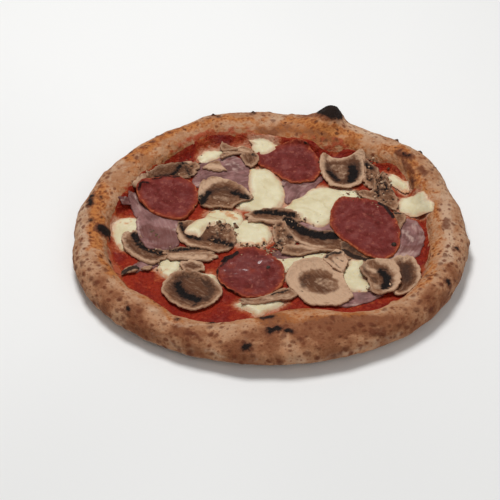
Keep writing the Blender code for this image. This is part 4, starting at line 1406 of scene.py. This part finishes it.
# Dark strokes on the mushrooms are painted shade.
MUSHROOM_MARKS = {
    "mushroom_arch": {
        # gills, and painted shadow in the gaps under the curled edges
        "gill_and_shadow": (
            (1.4, (157, 178), (166, 176), (174, 174), (179, 168), (182, 164)),
            (1.0, (187, 168), (190, 176)),
        ),
        "pale": (
            (3.0, (135, 183), (137, 178), (142, 174)),
            (1.0, (148, 168), (160, 163), (175, 161), (190, 163)),
        ),
        "brown": ((3.6, (148, 175), (162, 170), (176, 167)),),
        "crease": ((0.7, (184, 163), (194, 168)),),
    },
    "mushroom_umbrella": {
        "pale": (
            (2.7, (200, 198), (203, 189), (211, 182), (223, 180), (233, 182), (243, 187),
             (250, 194), (251, 199)),
        ),
        "brown": ((2.6, (209, 191), (217, 188), (228, 188), (237, 192)),),
        "gill_and_shadow": (
            (2.8, (201.5, 204), (203.5, 199), (208.5, 193.5)),
            (2.5, (234, 193), (241, 195), (247, 199)),
        ),
        "dark": ((1.8, (210, 193), (218, 190), (229, 190)),),
        "fawn": ((2.6, (216, 198), (228, 200)),),
        "burn": ((0.7, (214, 187), (214, 190)), (0.6, (227, 197))),
    },
    "mushroom_u_slice": {
        "pale": (
            (1.9, (321, 158), (322, 168), (325, 178), (332, 185), (341, 187), (352, 186),
             (360, 181), (364, 172), (363, 161), (359, 155)),
        ),
        "dark": ((1.6, (327, 165), (330, 176), (338, 182), (350, 182), (358, 175), (359, 165)),),
        "fawn": ((4.0, (334, 168), (344, 169), (341, 178)),),
        "gill_and_shadow": (
            (1.8, (329, 172), (333, 176), (337, 180)), (3.6, (352, 168), (354, 174), (351, 180)),
        ),
        "brown": ((1.2, (322, 158), (333, 161), (346, 159), (357, 156)),),
    },
    "mushroom_left": {
        "pale": (
            (0.7, (134, 231), (127, 234), (123, 239), (125, 247), (133, 254), (143, 260),
             (155, 263), (164, 263)),
        ),
        "brown": ((3.0, (128, 242), (135, 250), (146, 256), (158, 259)),),
        "gill_and_shadow": ((2.2, (135, 235), (136, 240), (142, 246), (150, 251), (160, 254), (168, 253)),),
    },
    "mushroom_edge_upper": {
        "gill_and_shadow": ((1.4, (170, 251), (182, 250), (195, 249), (206, 248)),),
        "pale": ((1.0, (172, 255), (190, 255), (210, 256)),),
    },
    "mushroom_edge_lower": {
        "pale": ((2.0, (160, 257), (180, 257), (205, 258)),),
        "brown": ((1.0, (165, 260), (185, 261), (203, 261)),),
    },
    "mushroom_centre_left": {
        "pale": ((1.5, (177, 221), (177, 230), (181, 238), (188, 244), (198, 247)),),
        "brown": ((2.2, (182, 227), (186, 236), (194, 241)), (5.0, (207, 230), (208, 236))),
        "gill_and_shadow": (
            (1.7, (181, 225), (184, 232), (191, 237), (200, 239.5)),
            (2.2, (211, 240), (220, 242), (231, 246)),
        ),
        "crumbs": ((5.5, (220, 230), (226, 235)),),
    },
    "mushroom_long_back": {
        "gill_and_shadow": ((2.2, (257, 213), (268, 213), (280, 214), (294, 216)),),
        "pale": ((1.0, (247, 216), (250, 219), (265, 221), (280, 222), (290, 223)),),
    },
    "mushroom_long_front": {
        "gill_and_shadow": ((3.9, (288, 221), (294, 226), (302, 231), (312, 234), (322, 236), (338, 236)),),
        "pale": ((1.3, (278, 222), (285, 232), (296, 241), (308, 246), (322, 248)),),
        "brown": ((2.6, (296, 235), (310, 240), (325, 243), (338, 243)),),
    },
    "mushroom_torn": {
        "crumbs": ((4.0, (280, 228), (284, 244)),),
        "gill_and_shadow": ((1.2, (287, 236), (292, 240)),),
    },
    "mushroom_thin": {
        "pale": ((1.2, (288, 246), (303, 247), (316, 250)),),
        "brown": ((1.6, (290, 249), (310, 251)),),
    },
    "mushroom_charred": {
        # painted shadow cast by the salami above: the dark patch, and the black strip along its
        # edge over a charred rim
        "dark": ((4.0, (346, 246), (360, 252)),),
        "burn": ((2.4, (344, 252), (354, 257), (366, 260), (378, 262)),),
    },
    "mushroom_right_chip": {
        "burn": ((1.2, (394, 214), (405, 214)),),
        "brown": ((2.0, (398, 220)),),
    },
    "mushroom_right_outer": {
        "pale": ((1.5, (404, 260), (411, 258), (417, 264), (420, 273), (418, 283), (409, 291)),),
        "dark": ((4.0, (405, 268), (407, 280)),),
    },
    "mushroom_front_thin": {
        "burn": ((1.0, (272, 295), (288, 291)),),
        "pale": ((1.0, (250, 299), (270, 299), (288, 296)),),
    },
    "mushroom_curl": {
        "pale": ((1.4, (224, 152), (236, 150), (248, 152)),),
        "burn": ((0.9, (218, 157), (223, 154)),),
    },
    "mushroom_curl_cap": {
        "burn": ((1.2, (253, 155), (256, 157)),),
        "brown": ((3.0, (247, 157), (250, 163)),),
    },
    "mushroom_back_chip": {"brown": ((1.5, (224, 147), (230, 150)),)},
    "mushroom_ham_chip": {"pale": ((3.0, (208, 167), (222, 168)),)},
    "mushroom_cup": {
        "dark": (
            (2.0, (175, 281), (176, 290), (183, 298), (195, 302), (207, 299), (212, 291),
             (207, 283), (196, 278), (184, 277), (175, 281)),
        ),
        # gills, and painted shadow in the crescent beside the dome
        "gill_and_shadow": ((3.1, (178, 285), (180, 291), (187, 297), (197, 300)),),
        "stem": ((6.5, (194, 286)),),
        "burn": ((0.6, (191, 307), (197, 305)),),
    },
    "mushroom_round": {
        "pale": (
            (5.0, (290, 280), (297, 268), (312, 264), (328, 264), (338, 270)),
            (5.0, (290, 280), (300, 295), (318, 300), (336, 297), (346, 293)),
            (1.2, (344, 284), (338, 278)),
        ),
        "dark": ((1.2, (303, 287), (303, 280), (308, 276)),),
        "brown": (
            (4.6, (305, 283), (313, 285)), (1.0, (316, 282), (330, 286)),
            (0.8, (287, 277), (291, 269), (299, 263), (310, 260)),
            (0.6, (296, 294), (303, 301), (312, 306)),
        ),
        "fawn": ((4.5, (320, 282), (333, 286)),),
        "burn": ((0.8, (300, 274)), (0.7, (303, 292)), (0.6, (333, 291), (335, 292))),
        "crease": ((0.6, (332, 261), (338, 267), (343, 272)),),
    },
    "mushroom_folded_flap": {
        "pale": ((6.0, (340, 262), (342, 272)),),
        "crease": (
            (0.7, (332, 261), (338, 267), (343, 272)), (0.6, (336, 258), (342, 262), (347, 268)),
        ),
        "burn": ((1.3, (325, 258.5), (329, 256), (335, 253.5), (341, 254)),),
    },
    "mushroom_crumbled": {
        "crumbs": ((8.0, (380, 180), (384, 200)),),
        "gill_and_shadow": ((2.6, (382, 184), (386, 191)),),
        "burn": ((0.8, (387, 179)),),
    },
    "mushroom_bit_right": {
        "gill_and_shadow": ((2.0, (366, 165), (371, 169)), (1.8, (370, 180))),
        "crumbs": ((3.0, (368, 174)),),
    },
    "mushroom_right_umbrella": {
        "pale": (
            (2.5, (378, 261), (389, 263), (396, 270), (398, 281), (394, 289), (386, 292)),
            (1.8, (366, 268), (374, 272)), (1.6, (374, 287), (381, 288)),
        ),
        "dark": ((1.8, (363, 269), (367, 278), (374, 282)),),
        "gill_and_shadow": ((2.9, (382, 272), (387, 278), (388, 284), (384, 288)),),
    },
    "mushroom_small_oval": {
        "brown": ((4.0, (189, 266), (196, 267)),),
        "pale": ((1.0, (181, 264), (190, 261), (203, 265)),),
    },
    "mushroom_dark_chip": {
        "burn": ((2.2, (123, 273), (130, 270), (138, 267)),),
        "pale": ((0.6, (126, 268), (135, 265)),),
    },
    "mushroom_dark_bit": {"burn": ((2.0, (143, 268), (150, 266)),)},
}

# Width of the pale rim of each mushroom slice, the distance from its edge at which
# it turns brown, and how far its edge curls up, in millimetres.
PLAIN_SLICE = (0.6, 9.0, 0.6)
SLICES = {
    "mushroom_cup": (0.9, 5.0, 2.0),
    "mushroom_round": (6.0, 14.0, 1.2),
    "mushroom_u_slice": (2.2, 3.2, 1.8),
    "mushroom_right_outer": (1.8, 4.0, 1.4),
    "mushroom_right_umbrella": (0.4, 9.0, 1.6),
    "mushroom_umbrella": (0.4, 9.0, 1.4),
    "mushroom_arch": (0.4, 6.0, 0.8),
    "mushroom_small_oval": (1.4, 2.5, 0.3),
    "mushroom_folded_flap": (4.0, 9.0, 1.0),
}


# -------------------------------------------------------------- shaping each kind


def rim_crest(points):
    """Distance of each point from the middle, and of the top of the rim there."""
    sectors = 90
    within_rim = 90.0
    angles = np.arctan2(points[:, 1], points[:, 0])
    radii = np.hypot(points[:, 0], points[:, 1])
    sector = ((angles + math.pi) / math.tau * sectors).astype(int) % sectors
    crest = np.zeros(sectors)
    for index in range(sectors):
        mine = (sector == index) & (radii > within_rim)
        highest = np.flatnonzero(mine)[points[mine, 2].argmax()]
        crest[index] = radii[highest]
    crest = (crest + np.roll(crest, 1) + np.roll(crest, -1)) / 3
    turn = (angles + math.pi) / math.tau * sectors - 0.5
    low = np.floor(turn).astype(int)
    share = turn - low
    return radii, crest[low % sectors] * (1 - share) + crest[(low + 1) % sectors] * share


def fine_crust():
    """The solid of the bread cut finer, and once more over the rim that shows."""
    thing = finer_copy("crust", 2)
    underside = 2 * MM
    bpy.ops.object.mode_set(mode="EDIT")
    bpy.ops.mesh.select_mode(type="FACE")
    bpy.ops.mesh.select_all(action="DESELECT")
    bpy.ops.object.mode_set(mode="OBJECT")
    for face in thing.data.polygons:
        face.select = face.center.z > underside and face.center.xy.length > RIM_FROM * MM
    bpy.ops.object.mode_set(mode="EDIT")
    bpy.ops.mesh.subdivide(number_cuts=1, smoothness=0.6)
    bpy.ops.object.mode_set(mode="OBJECT")
    return thing


def bake_crust(material):
    """The bread: lumps, blisters, charred spots and leopard freckles."""
    thing = fine_crust()
    tree = tree_of(thing)

    def place(pixel):
        way = sight(pixel)
        hit = tree.ray_cast(CAMERA_AT, way)[0]
        if hit is None:  # just past the far edge of the rim
            past = CAMERA_AT + way * (HORIZON * MM - CAMERA_AT.z) / way.z
            hit = tree.find_nearest(past)[0]
        return np.array(hit) / MM

    piece = Piece("crust", thing, place, CRUST_MARKS)
    radii, crest = rim_crest(piece.points)
    outside = radii - crest
    height = piece.points[:, 2]
    angle = np.degrees(np.arctan2(piece.points[:, 1], piece.points[:, 0]))
    # 0 inside the rim and at its foot, 1 over the rest of it
    rim = ramp(radii, 108, 118) * ramp(height, 1.0, 5.0)

    char = piece.marked("char", 1.1, 3.0)
    nub = piece.marked("nub", 0.6)
    dark = piece.marked("dark", 1.4, 3.5)
    gold = piece.marked("gold", 4.0, 9.0)
    toast_and_shade = piece.marked("toast_and_shade", 4.0, 12.0)
    flour = piece.marked("flour", 3.0, 9.0)
    stain = piece.marked("stain", 4.0, 8.0)

    # the front of the rim, down its outside, is the most baked and freckled; each of
    # these is 0 to 1, and makes the depth of a mask with a factor, an offset and noise
    front = ramp(-np.abs(angle + 85), -95, -55)
    rolled = ramp(outside, -6, 6) * ramp(height, 2, 6)
    toast_and_shade = np.maximum(toast_and_shade, front * rolled * 5.4 - 3.5 + piece.noise(14, 11, 2) * 2.6)
    low_outside = ramp(-height, -12, -4) * ramp(outside, 4, 12)
    flour = np.maximum(flour, low_outside * 5 - 3 + piece.noise(20, 5))
    wall = ramp(-outside, 0, 7) * ramp(height, 6, 12)
    gold = np.maximum(gold, wall * 3.6 - MASK_REACH + piece.noise(16, 8, 2) * 1.2)
    foot = 8.5 - height + piece.noise(12, 6, 2) * 2.5
    stain = np.maximum(stain, np.where(outside < 0, foot, -MASK_REACH))

    freckled = -0.6 + 5.4 * front * rolled + 1.5 * ramp(toast_and_shade, -2, 3) - 2.2 * low_outside
    freckled += 2.0 * ramp(outside, -2, 6) - 3.0 * ramp(-outside, 4, 12)
    # spots strewn over the far side too, which the photograph doesn't show
    unseen = ramp(angle, 3, 15) * ramp(-angle, -177, -165) * ramp(outside, 3, 8)
    char = np.maximum(char, piece.dotted(0.10 * unseen * rim, 0.8, 2.6, 4))
    spots = np.maximum(dark, piece.dotted(0.12 * (unseen + front * rolled) * rim, 1.0, 2.4, 2))

    # the relief, outwards, in millimetres
    lumps = piece.noise(15, 1) * 0.7 + piece.noise(6, 2) * 0.32 + piece.noise(2.4, 3, 2) * 0.15
    away, chance = strewn(piece.points, 9.0, 3)
    blisters = np.where(chance < 0.4, ramp(-away, -4.0, -0.5) * (0.3 + chance * 1.8), 0)
    rise = lumps + blisters
    rise += ramp(char, -1.5, 1.5) * 0.7 + ramp(spots, -1.5, 2.0) * 0.35
    rise += ramp(nub, -0.6, 1.4) * 1.9
    rise += piece.noise(1.8, 4, 2) * 0.30 * ramp(char, -0.5, 0.5)
    piece.points += piece.normals * (rise * rim)[:, None]

    # places on the skin: round the rim, and over it from the inside to the outside
    around = np.radians(angle) * RIM_RADIUS
    over = outside + np.clip(outside / 8, -1, 1) * (RIM_HEIGHT - height) * 0.8
    piece.grain(np.column_stack([around, over]))
    char = np.maximum(char, nub)
    piece.paint("paint", char, gold, toast_and_shade, stain)
    piece.paint("dust_and_shade", flour, spots, freckled)
    piece.finish(material, "bread")
    return thing


def sauce_corners(heap):
    """Where the sauce ends: at its seen edge, and where the front of the rim hides
    that, at about the same height all along."""
    spacing = 4  # degrees
    reach = np.arange(80, 140, 0.5)
    wave_radius, wave_size = 120, 26

    def turn_of(place):
        return math.atan2(place[1], place[0])

    def corners(_):
        places = [heap.land(pixel)[:2] for pixel in SAUCE_EDGE]
        left, right = (math.degrees(turn_of(places[end])) for end in (0, -1))
        first = math.ceil(left % 360) + spacing
        last = math.floor(right) + 360 - spacing
        for turn in range(first, last + 1, spacing):
            way = np.array([math.cos(math.radians(turn)), math.sin(math.radians(turn))])
            wave = noise(np.array([[*(way * wave_radius), 0.0]]), wave_size, 5, 2)[0]
            line = way * reach[:, None]
            above = np.flatnonzero(heap.sample(heap.heights, line) > HIDDEN_CLIMB + wave)
            places.append(line[above[0]])
        return sorted(places, key=turn_of)

    return corners


def bake_sauce(piece, material, cheeses):
    """Pulpy, milky near the cheese and oily at its edge."""
    edges = np.concatenate([cheese.outline.loop for cheese in cheeses])
    tree = KDTree(len(edges))
    for index, (x, y) in enumerate(edges):
        tree.insert((x, y, 0), index)
    tree.balance()
    away = np.array([tree.find((x, y, 0))[2] for x, y, _ in piece.points])
    milk = 2.8 - away + piece.noise(9, 1, 2) * 2.6
    oil = 1.0 - piece.edge + piece.noise(9, 2, 2) * 1.6
    oil = np.maximum(oil, piece.marked("oil", 1.5))
    deep = np.maximum(piece.noise(14, 3) * 2.2 - 2.4, piece.marked("deep", 1.0))
    rise = piece.noise(7, 4) * 0.30 + piece.noise(3, 5, 2) * 0.20
    piece.points[:, 2] += rise * piece.top * ramp(piece.edge, 0, 3)
    piece.paint("paint", milk, oil, deep)
    piece.finish(material, "tomato_sauce")


def bake_cheese(piece, material):
    """Soft swells, with thin edges that run out over what lies below."""
    edge = piece.edge
    seam = piece.marked("seam", 1.2)
    swell = piece.noise(10, 3) * 0.40 + piece.noise(4, 4) * 0.12
    swell -= ramp(seam, -2.6, 0.6) * 0.6
    piece.points[:, 2] += swell * ramp(edge, 0, 4) * piece.top
    oil = np.maximum(piece.marked("oil", 1.5), 0.1 - edge + piece.noise(9, 5) * 0.9)
    thin = 2.2 - edge + piece.noise(6, 6, 2) * 1.6
    piece.paint("paint", piece.marked("brown", 1.5), thin, oil, seam)
    piece.finish(material, "mozzarella")


def bake_ham(piece, material):
    """Soft folds, fibres along the slice and a browned edge."""
    edge = piece.edge
    folds = piece.noise(11, 3) * 0.55 + piece.noise(5, 4) * 0.22
    piece.points[:, 2] += folds * ramp(edge, -0.5, 2)
    brown = np.maximum(piece.marked("brown", 1.5), 0.2 - edge + piece.noise(8, 5) * 0.8)
    pale = np.maximum(piece.marked("pale", 1.2), piece.noise(9, 6, 2) * 3 - 1.6)
    piece.grain(piece.straight)
    piece.paint("paint", brown, pale, piece.marked("herb", 0.4))
    piece.finish(material, "ham")


def bake_salami(piece, material):
    """A stiff slice with a browned rim, dark curled edges and fatty drops, some of them painted
    glints.
    """
    edge = piece.edge
    # the fat strokes add pale specks to the rim mask; some are painted glints
    rim = np.maximum(2.0 - edge + piece.noise(5, 7, 2) * 0.9, piece.marked("fat_and_glint", 0.3))
    burn = piece.marked("burn", 0.5)
    fold = piece.marked("fold", 1.0)
    shine = piece.marked("shine", 2.0, 6.0)
    rise = piece.noise(13, 1) * 0.6 + piece.noise(5, 2) * 0.28 + piece.noise(2, 8) * 0.08
    rise += ramp(burn, -1.5, 0.8) * 0.7
    rise += ramp(-edge, -3.0, -0.3) * (0.9 + piece.noise(6, 9, 2) * 0.5)
    rise -= ramp(fold, -0.8, 0.6) * 0.35
    rise += ramp(shine, -2.0, 2.0) * piece.noise(4.5, 12, 2) * 0.45
    piece.points[:, 2] += rise * np.where(piece.top, 1.0, 0.4)
    piece.grain(piece.straight)
    piece.paint("paint", rim, burn, fold, shine)
    piece.finish(material, "salami")


def bake_mushroom(piece, material):
    """A thin slice: pale rim, brown inside, sunken black gills with painted shadow in places,
    curled edge.
    """
    rim_width, brown_from, curl = SLICES.get(piece.node, PLAIN_SLICE)
    edge = piece.edge
    gill_and_shadow = piece.marked("gill_and_shadow", 0.9, 2.2)
    crumbs = piece.marked("crumbs", 1.5)
    crease = piece.marked("crease", 0.5)
    stem = piece.marked("stem", 0.8, 6.0)
    burn = np.maximum(piece.marked("burn", 0.6), crease)
    uneven = rim_width * (1.0 + piece.noise(7, 9, 2) * 0.7)
    pale = np.maximum(piece.marked("pale", 0.9), uneven - edge)
    pale = np.maximum(pale, piece.noise(2.6, 1, 2) * 4 - 2.4 + np.minimum(crumbs, 0))
    pale = np.maximum(pale, np.minimum(piece.marked("fawn", 1.2) - 2.0, -0.9))
    brown = np.maximum(piece.marked("brown", 1.2), edge - brown_from)
    brown = np.maximum(brown, stem)
    gill_and_shadow = np.maximum(gill_and_shadow, piece.noise(2.8, 2, 2) * 4 - 2.6 + np.minimum(crumbs, 0))

    rise = piece.noise(9, 5) * 0.40 + piece.noise(3, 6) * 0.14
    rise += curl * ramp(-edge, -6, 0)
    cut = ramp(gill_and_shadow, -0.8, 1.2) * 0.7 + ramp(crease, -0.6, 0.6) * 0.5
    cut -= ramp(stem, -2.5, 1.5) * 0.9
    cut -= ramp(crumbs, -1, 1) * (piece.noise(2.6, 7, 2) * 0.9 + 0.4)
    piece.points[:, 2] += rise - cut * piece.top
    piece.grain(piece.straight)
    piece.paint("paint", gill_and_shadow, pale, brown, burn)
    # its second mask is the painted shade of the dark strokes
    piece.paint("dust_and_shade", edge - MASK_REACH, piece.marked("dark", 1.0))
    piece.finish(material, "mushroom")


def rough_grain(name, size, flat, seed):
    """One crumb, grain or fleck: a ball pressed flat and dented."""
    dent_size, dent_depth = 0.9, 0.3
    bpy.ops.object.select_all(action="DESELECT")
    bpy.ops.mesh.primitive_ico_sphere_add(subdivisions=2, radius=size * MM)
    grain = bpy.context.object
    grain.name = name
    bpy.ops.object.mode_set(mode="EDIT")
    bpy.ops.transform.resize(value=flat)
    bpy.ops.mesh.vertices_smooth(factor=0.3)
    bpy.ops.object.mode_set(mode="OBJECT")
    for vertex in grain.data.vertices:
        dent = noise(np.array([vertex.co]) / MM, size * dent_size, seed, 2)[0]
        vertex.co *= 1 + dent_depth * dent
    return grain


def strew(name, grains, places, material, seed):
    """Copies of these grains, each turned and sized by chance, joined as one piece.
    Each place is where a grain rests, and its size."""
    tilt = 0.6  # radians
    draws = random.Random(seed)
    copies = []
    for place, size in places:
        copy = linked(name, draws.choice(grains).data.copy())
        copy.location = Vector(place) * MM
        turns = [draws.uniform(-tilt, tilt) for _ in range(2)]
        copy.rotation_euler = (*turns, draws.uniform(0, math.tau))
        copy.scale = (size, size, size)
        shade = draws.uniform(0, 1)
        colours = copy.data.attributes.new("paint", "FLOAT_COLOR", "POINT")
        for spot in colours.data:
            spot.color = (shade, 0, 0, 0)
        copies.append(copy)
    for grain in grains:
        bpy.data.objects.remove(grain)
    bpy.ops.object.select_all(action="DESELECT")
    for copy in copies:
        copy.select_set(True)
    bpy.context.view_layer.objects.active = copies[0]
    bpy.ops.object.join()
    bpy.ops.object.transform_apply(location=True, rotation=True, scale=True)
    piece = bpy.context.object
    piece.name = name
    surfaced(piece, material)


def make_crumbs(heap):
    """Crumbled mushroom, thickest where the slices fell apart."""
    draws = random.Random(41)
    places = []
    for (x, y), wide, deep, count, largest in CRUMB_ZONES:
        for _ in range(count):
            pixel = (x + draws.gauss(0, wide / 2), y + draws.gauss(0, deep / 2))
            places.append((heap.land(pixel), largest * draws.uniform(0.3, 1.0) ** 2))
    grains = [rough_grain(f"crumb_{seed}", 1.0, (1.0, 0.8, 0.55), seed) for seed in range(5)]
    strew("mushroom_crumbs", grains, places, crumb_look(), seed=43)


def make_pepper(heap):
    """Whole black pepper on the salami."""
    radius = 2.0
    places = [(heap.land(pixel), size / radius) for pixel, size in PEPPERCORNS]
    grains = [rough_grain("peppercorn", radius, (1.0, 0.95, 0.8), 3)]
    strew("peppercorns", grains, places, pepper_look(), seed=47)


def make_herbs(heap):
    """Flecks of dried herb on the ham and cheese."""
    places = [(heap.land(pixel), size) for pixel, size in HERBS]
    grains = [rough_grain("herb", 1.0, (1.6, 0.5, 0.25), 5)]
    strew("herb_flecks", grains, places, herb_look(), seed=53)


# ------------------------------------------------------------------------- scene

# Each lamp: its name, place and size in metres, and power in watts.
LAMPS = (("key", (-0.2, 0.42, 1.35), 0.55, 15.6), ("fill", (0.5, -1.0, 0.8), 1.2, 3.6))
SKY_LIGHT = 0.26
FLOOR_SIZE = 6.0
FLOOR_DROP = 0.2 * MM  # below the bread, so that the two faces don't coincide


def make_pizza():
    """The bread, the sauce and every topping from the bottom up. Gives the heap."""
    heap = Heap(tree_of(bake_crust(crust_look())))
    sauce = Sheet("tomato_sauce", heap, SAUCE, sauce_corners(heap), SAUCE_MARKS)
    bakes = {
        "mozzarella": (mozzarella_look(), bake_cheese, CHEESE_MARKS),
        "ham": (ham_look(), bake_ham, HAM_MARKS),
        "salami": (salami_look(), bake_salami, SALAMI_MARKS),
        "mushroom": (mushroom_look(), bake_mushroom, MUSHROOM_MARKS),
    }
    cheeses = []
    for node, pixels in OUTLINES.items():
        kind = node.split("_")[0]
        material, bake, marks = bakes[kind]
        piece = Sheet(node, heap, KINDS[kind], seen_corners(pixels), marks.get(node, {}))
        bake(piece, material)
        if kind == "mozzarella":
            cheeses.append(piece)
    bake_sauce(sauce, sauce_look(), cheeses)
    return heap


def make_studio():
    """A plain pale floor, two soft lamps that face the pizza, and light all round."""
    bpy.ops.mesh.primitive_plane_add(size=FLOOR_SIZE, location=(0, 0, -FLOOR_DROP))
    floor = bpy.context.object
    floor.name = "floor"
    floor.data.materials.append(floor_look())

    for name, place, size, power in LAMPS:
        light = bpy.data.lights.new(name, "AREA")
        light.shape = "DISK"
        light.size = size
        light.energy = power
        lamp = linked(name, light)
        lamp.location = place
        lamp.rotation_euler = (-Vector(place)).to_track_quat("-Z", "Y").to_euler()

    world = bpy.data.worlds.new("studio")
    world.use_nodes = True
    sky = world.node_tree.nodes["Background"]
    sky.inputs["Color"].default_value = rgb(255, 254, 252)
    sky.inputs["Strength"].default_value = SKY_LIGHT
    bpy.context.scene.world = world
    bpy.context.scene.view_settings.view_transform = "Standard"


def make_camera():
    """The camera of the photograph."""
    camera = linked("camera", bpy.data.cameras.new("camera"))
    camera.data.lens = LENS
    camera.data.sensor_width = SENSOR
    camera.location = CAMERA_AT
    camera.rotation_euler = (CAMERA_TURN, 0, 0)
    bpy.context.scene.camera = camera


make_camera()
pizza_top = make_pizza()
make_crumbs(pizza_top)
make_pepper(pizza_top)
make_herbs(pizza_top)
make_studio()
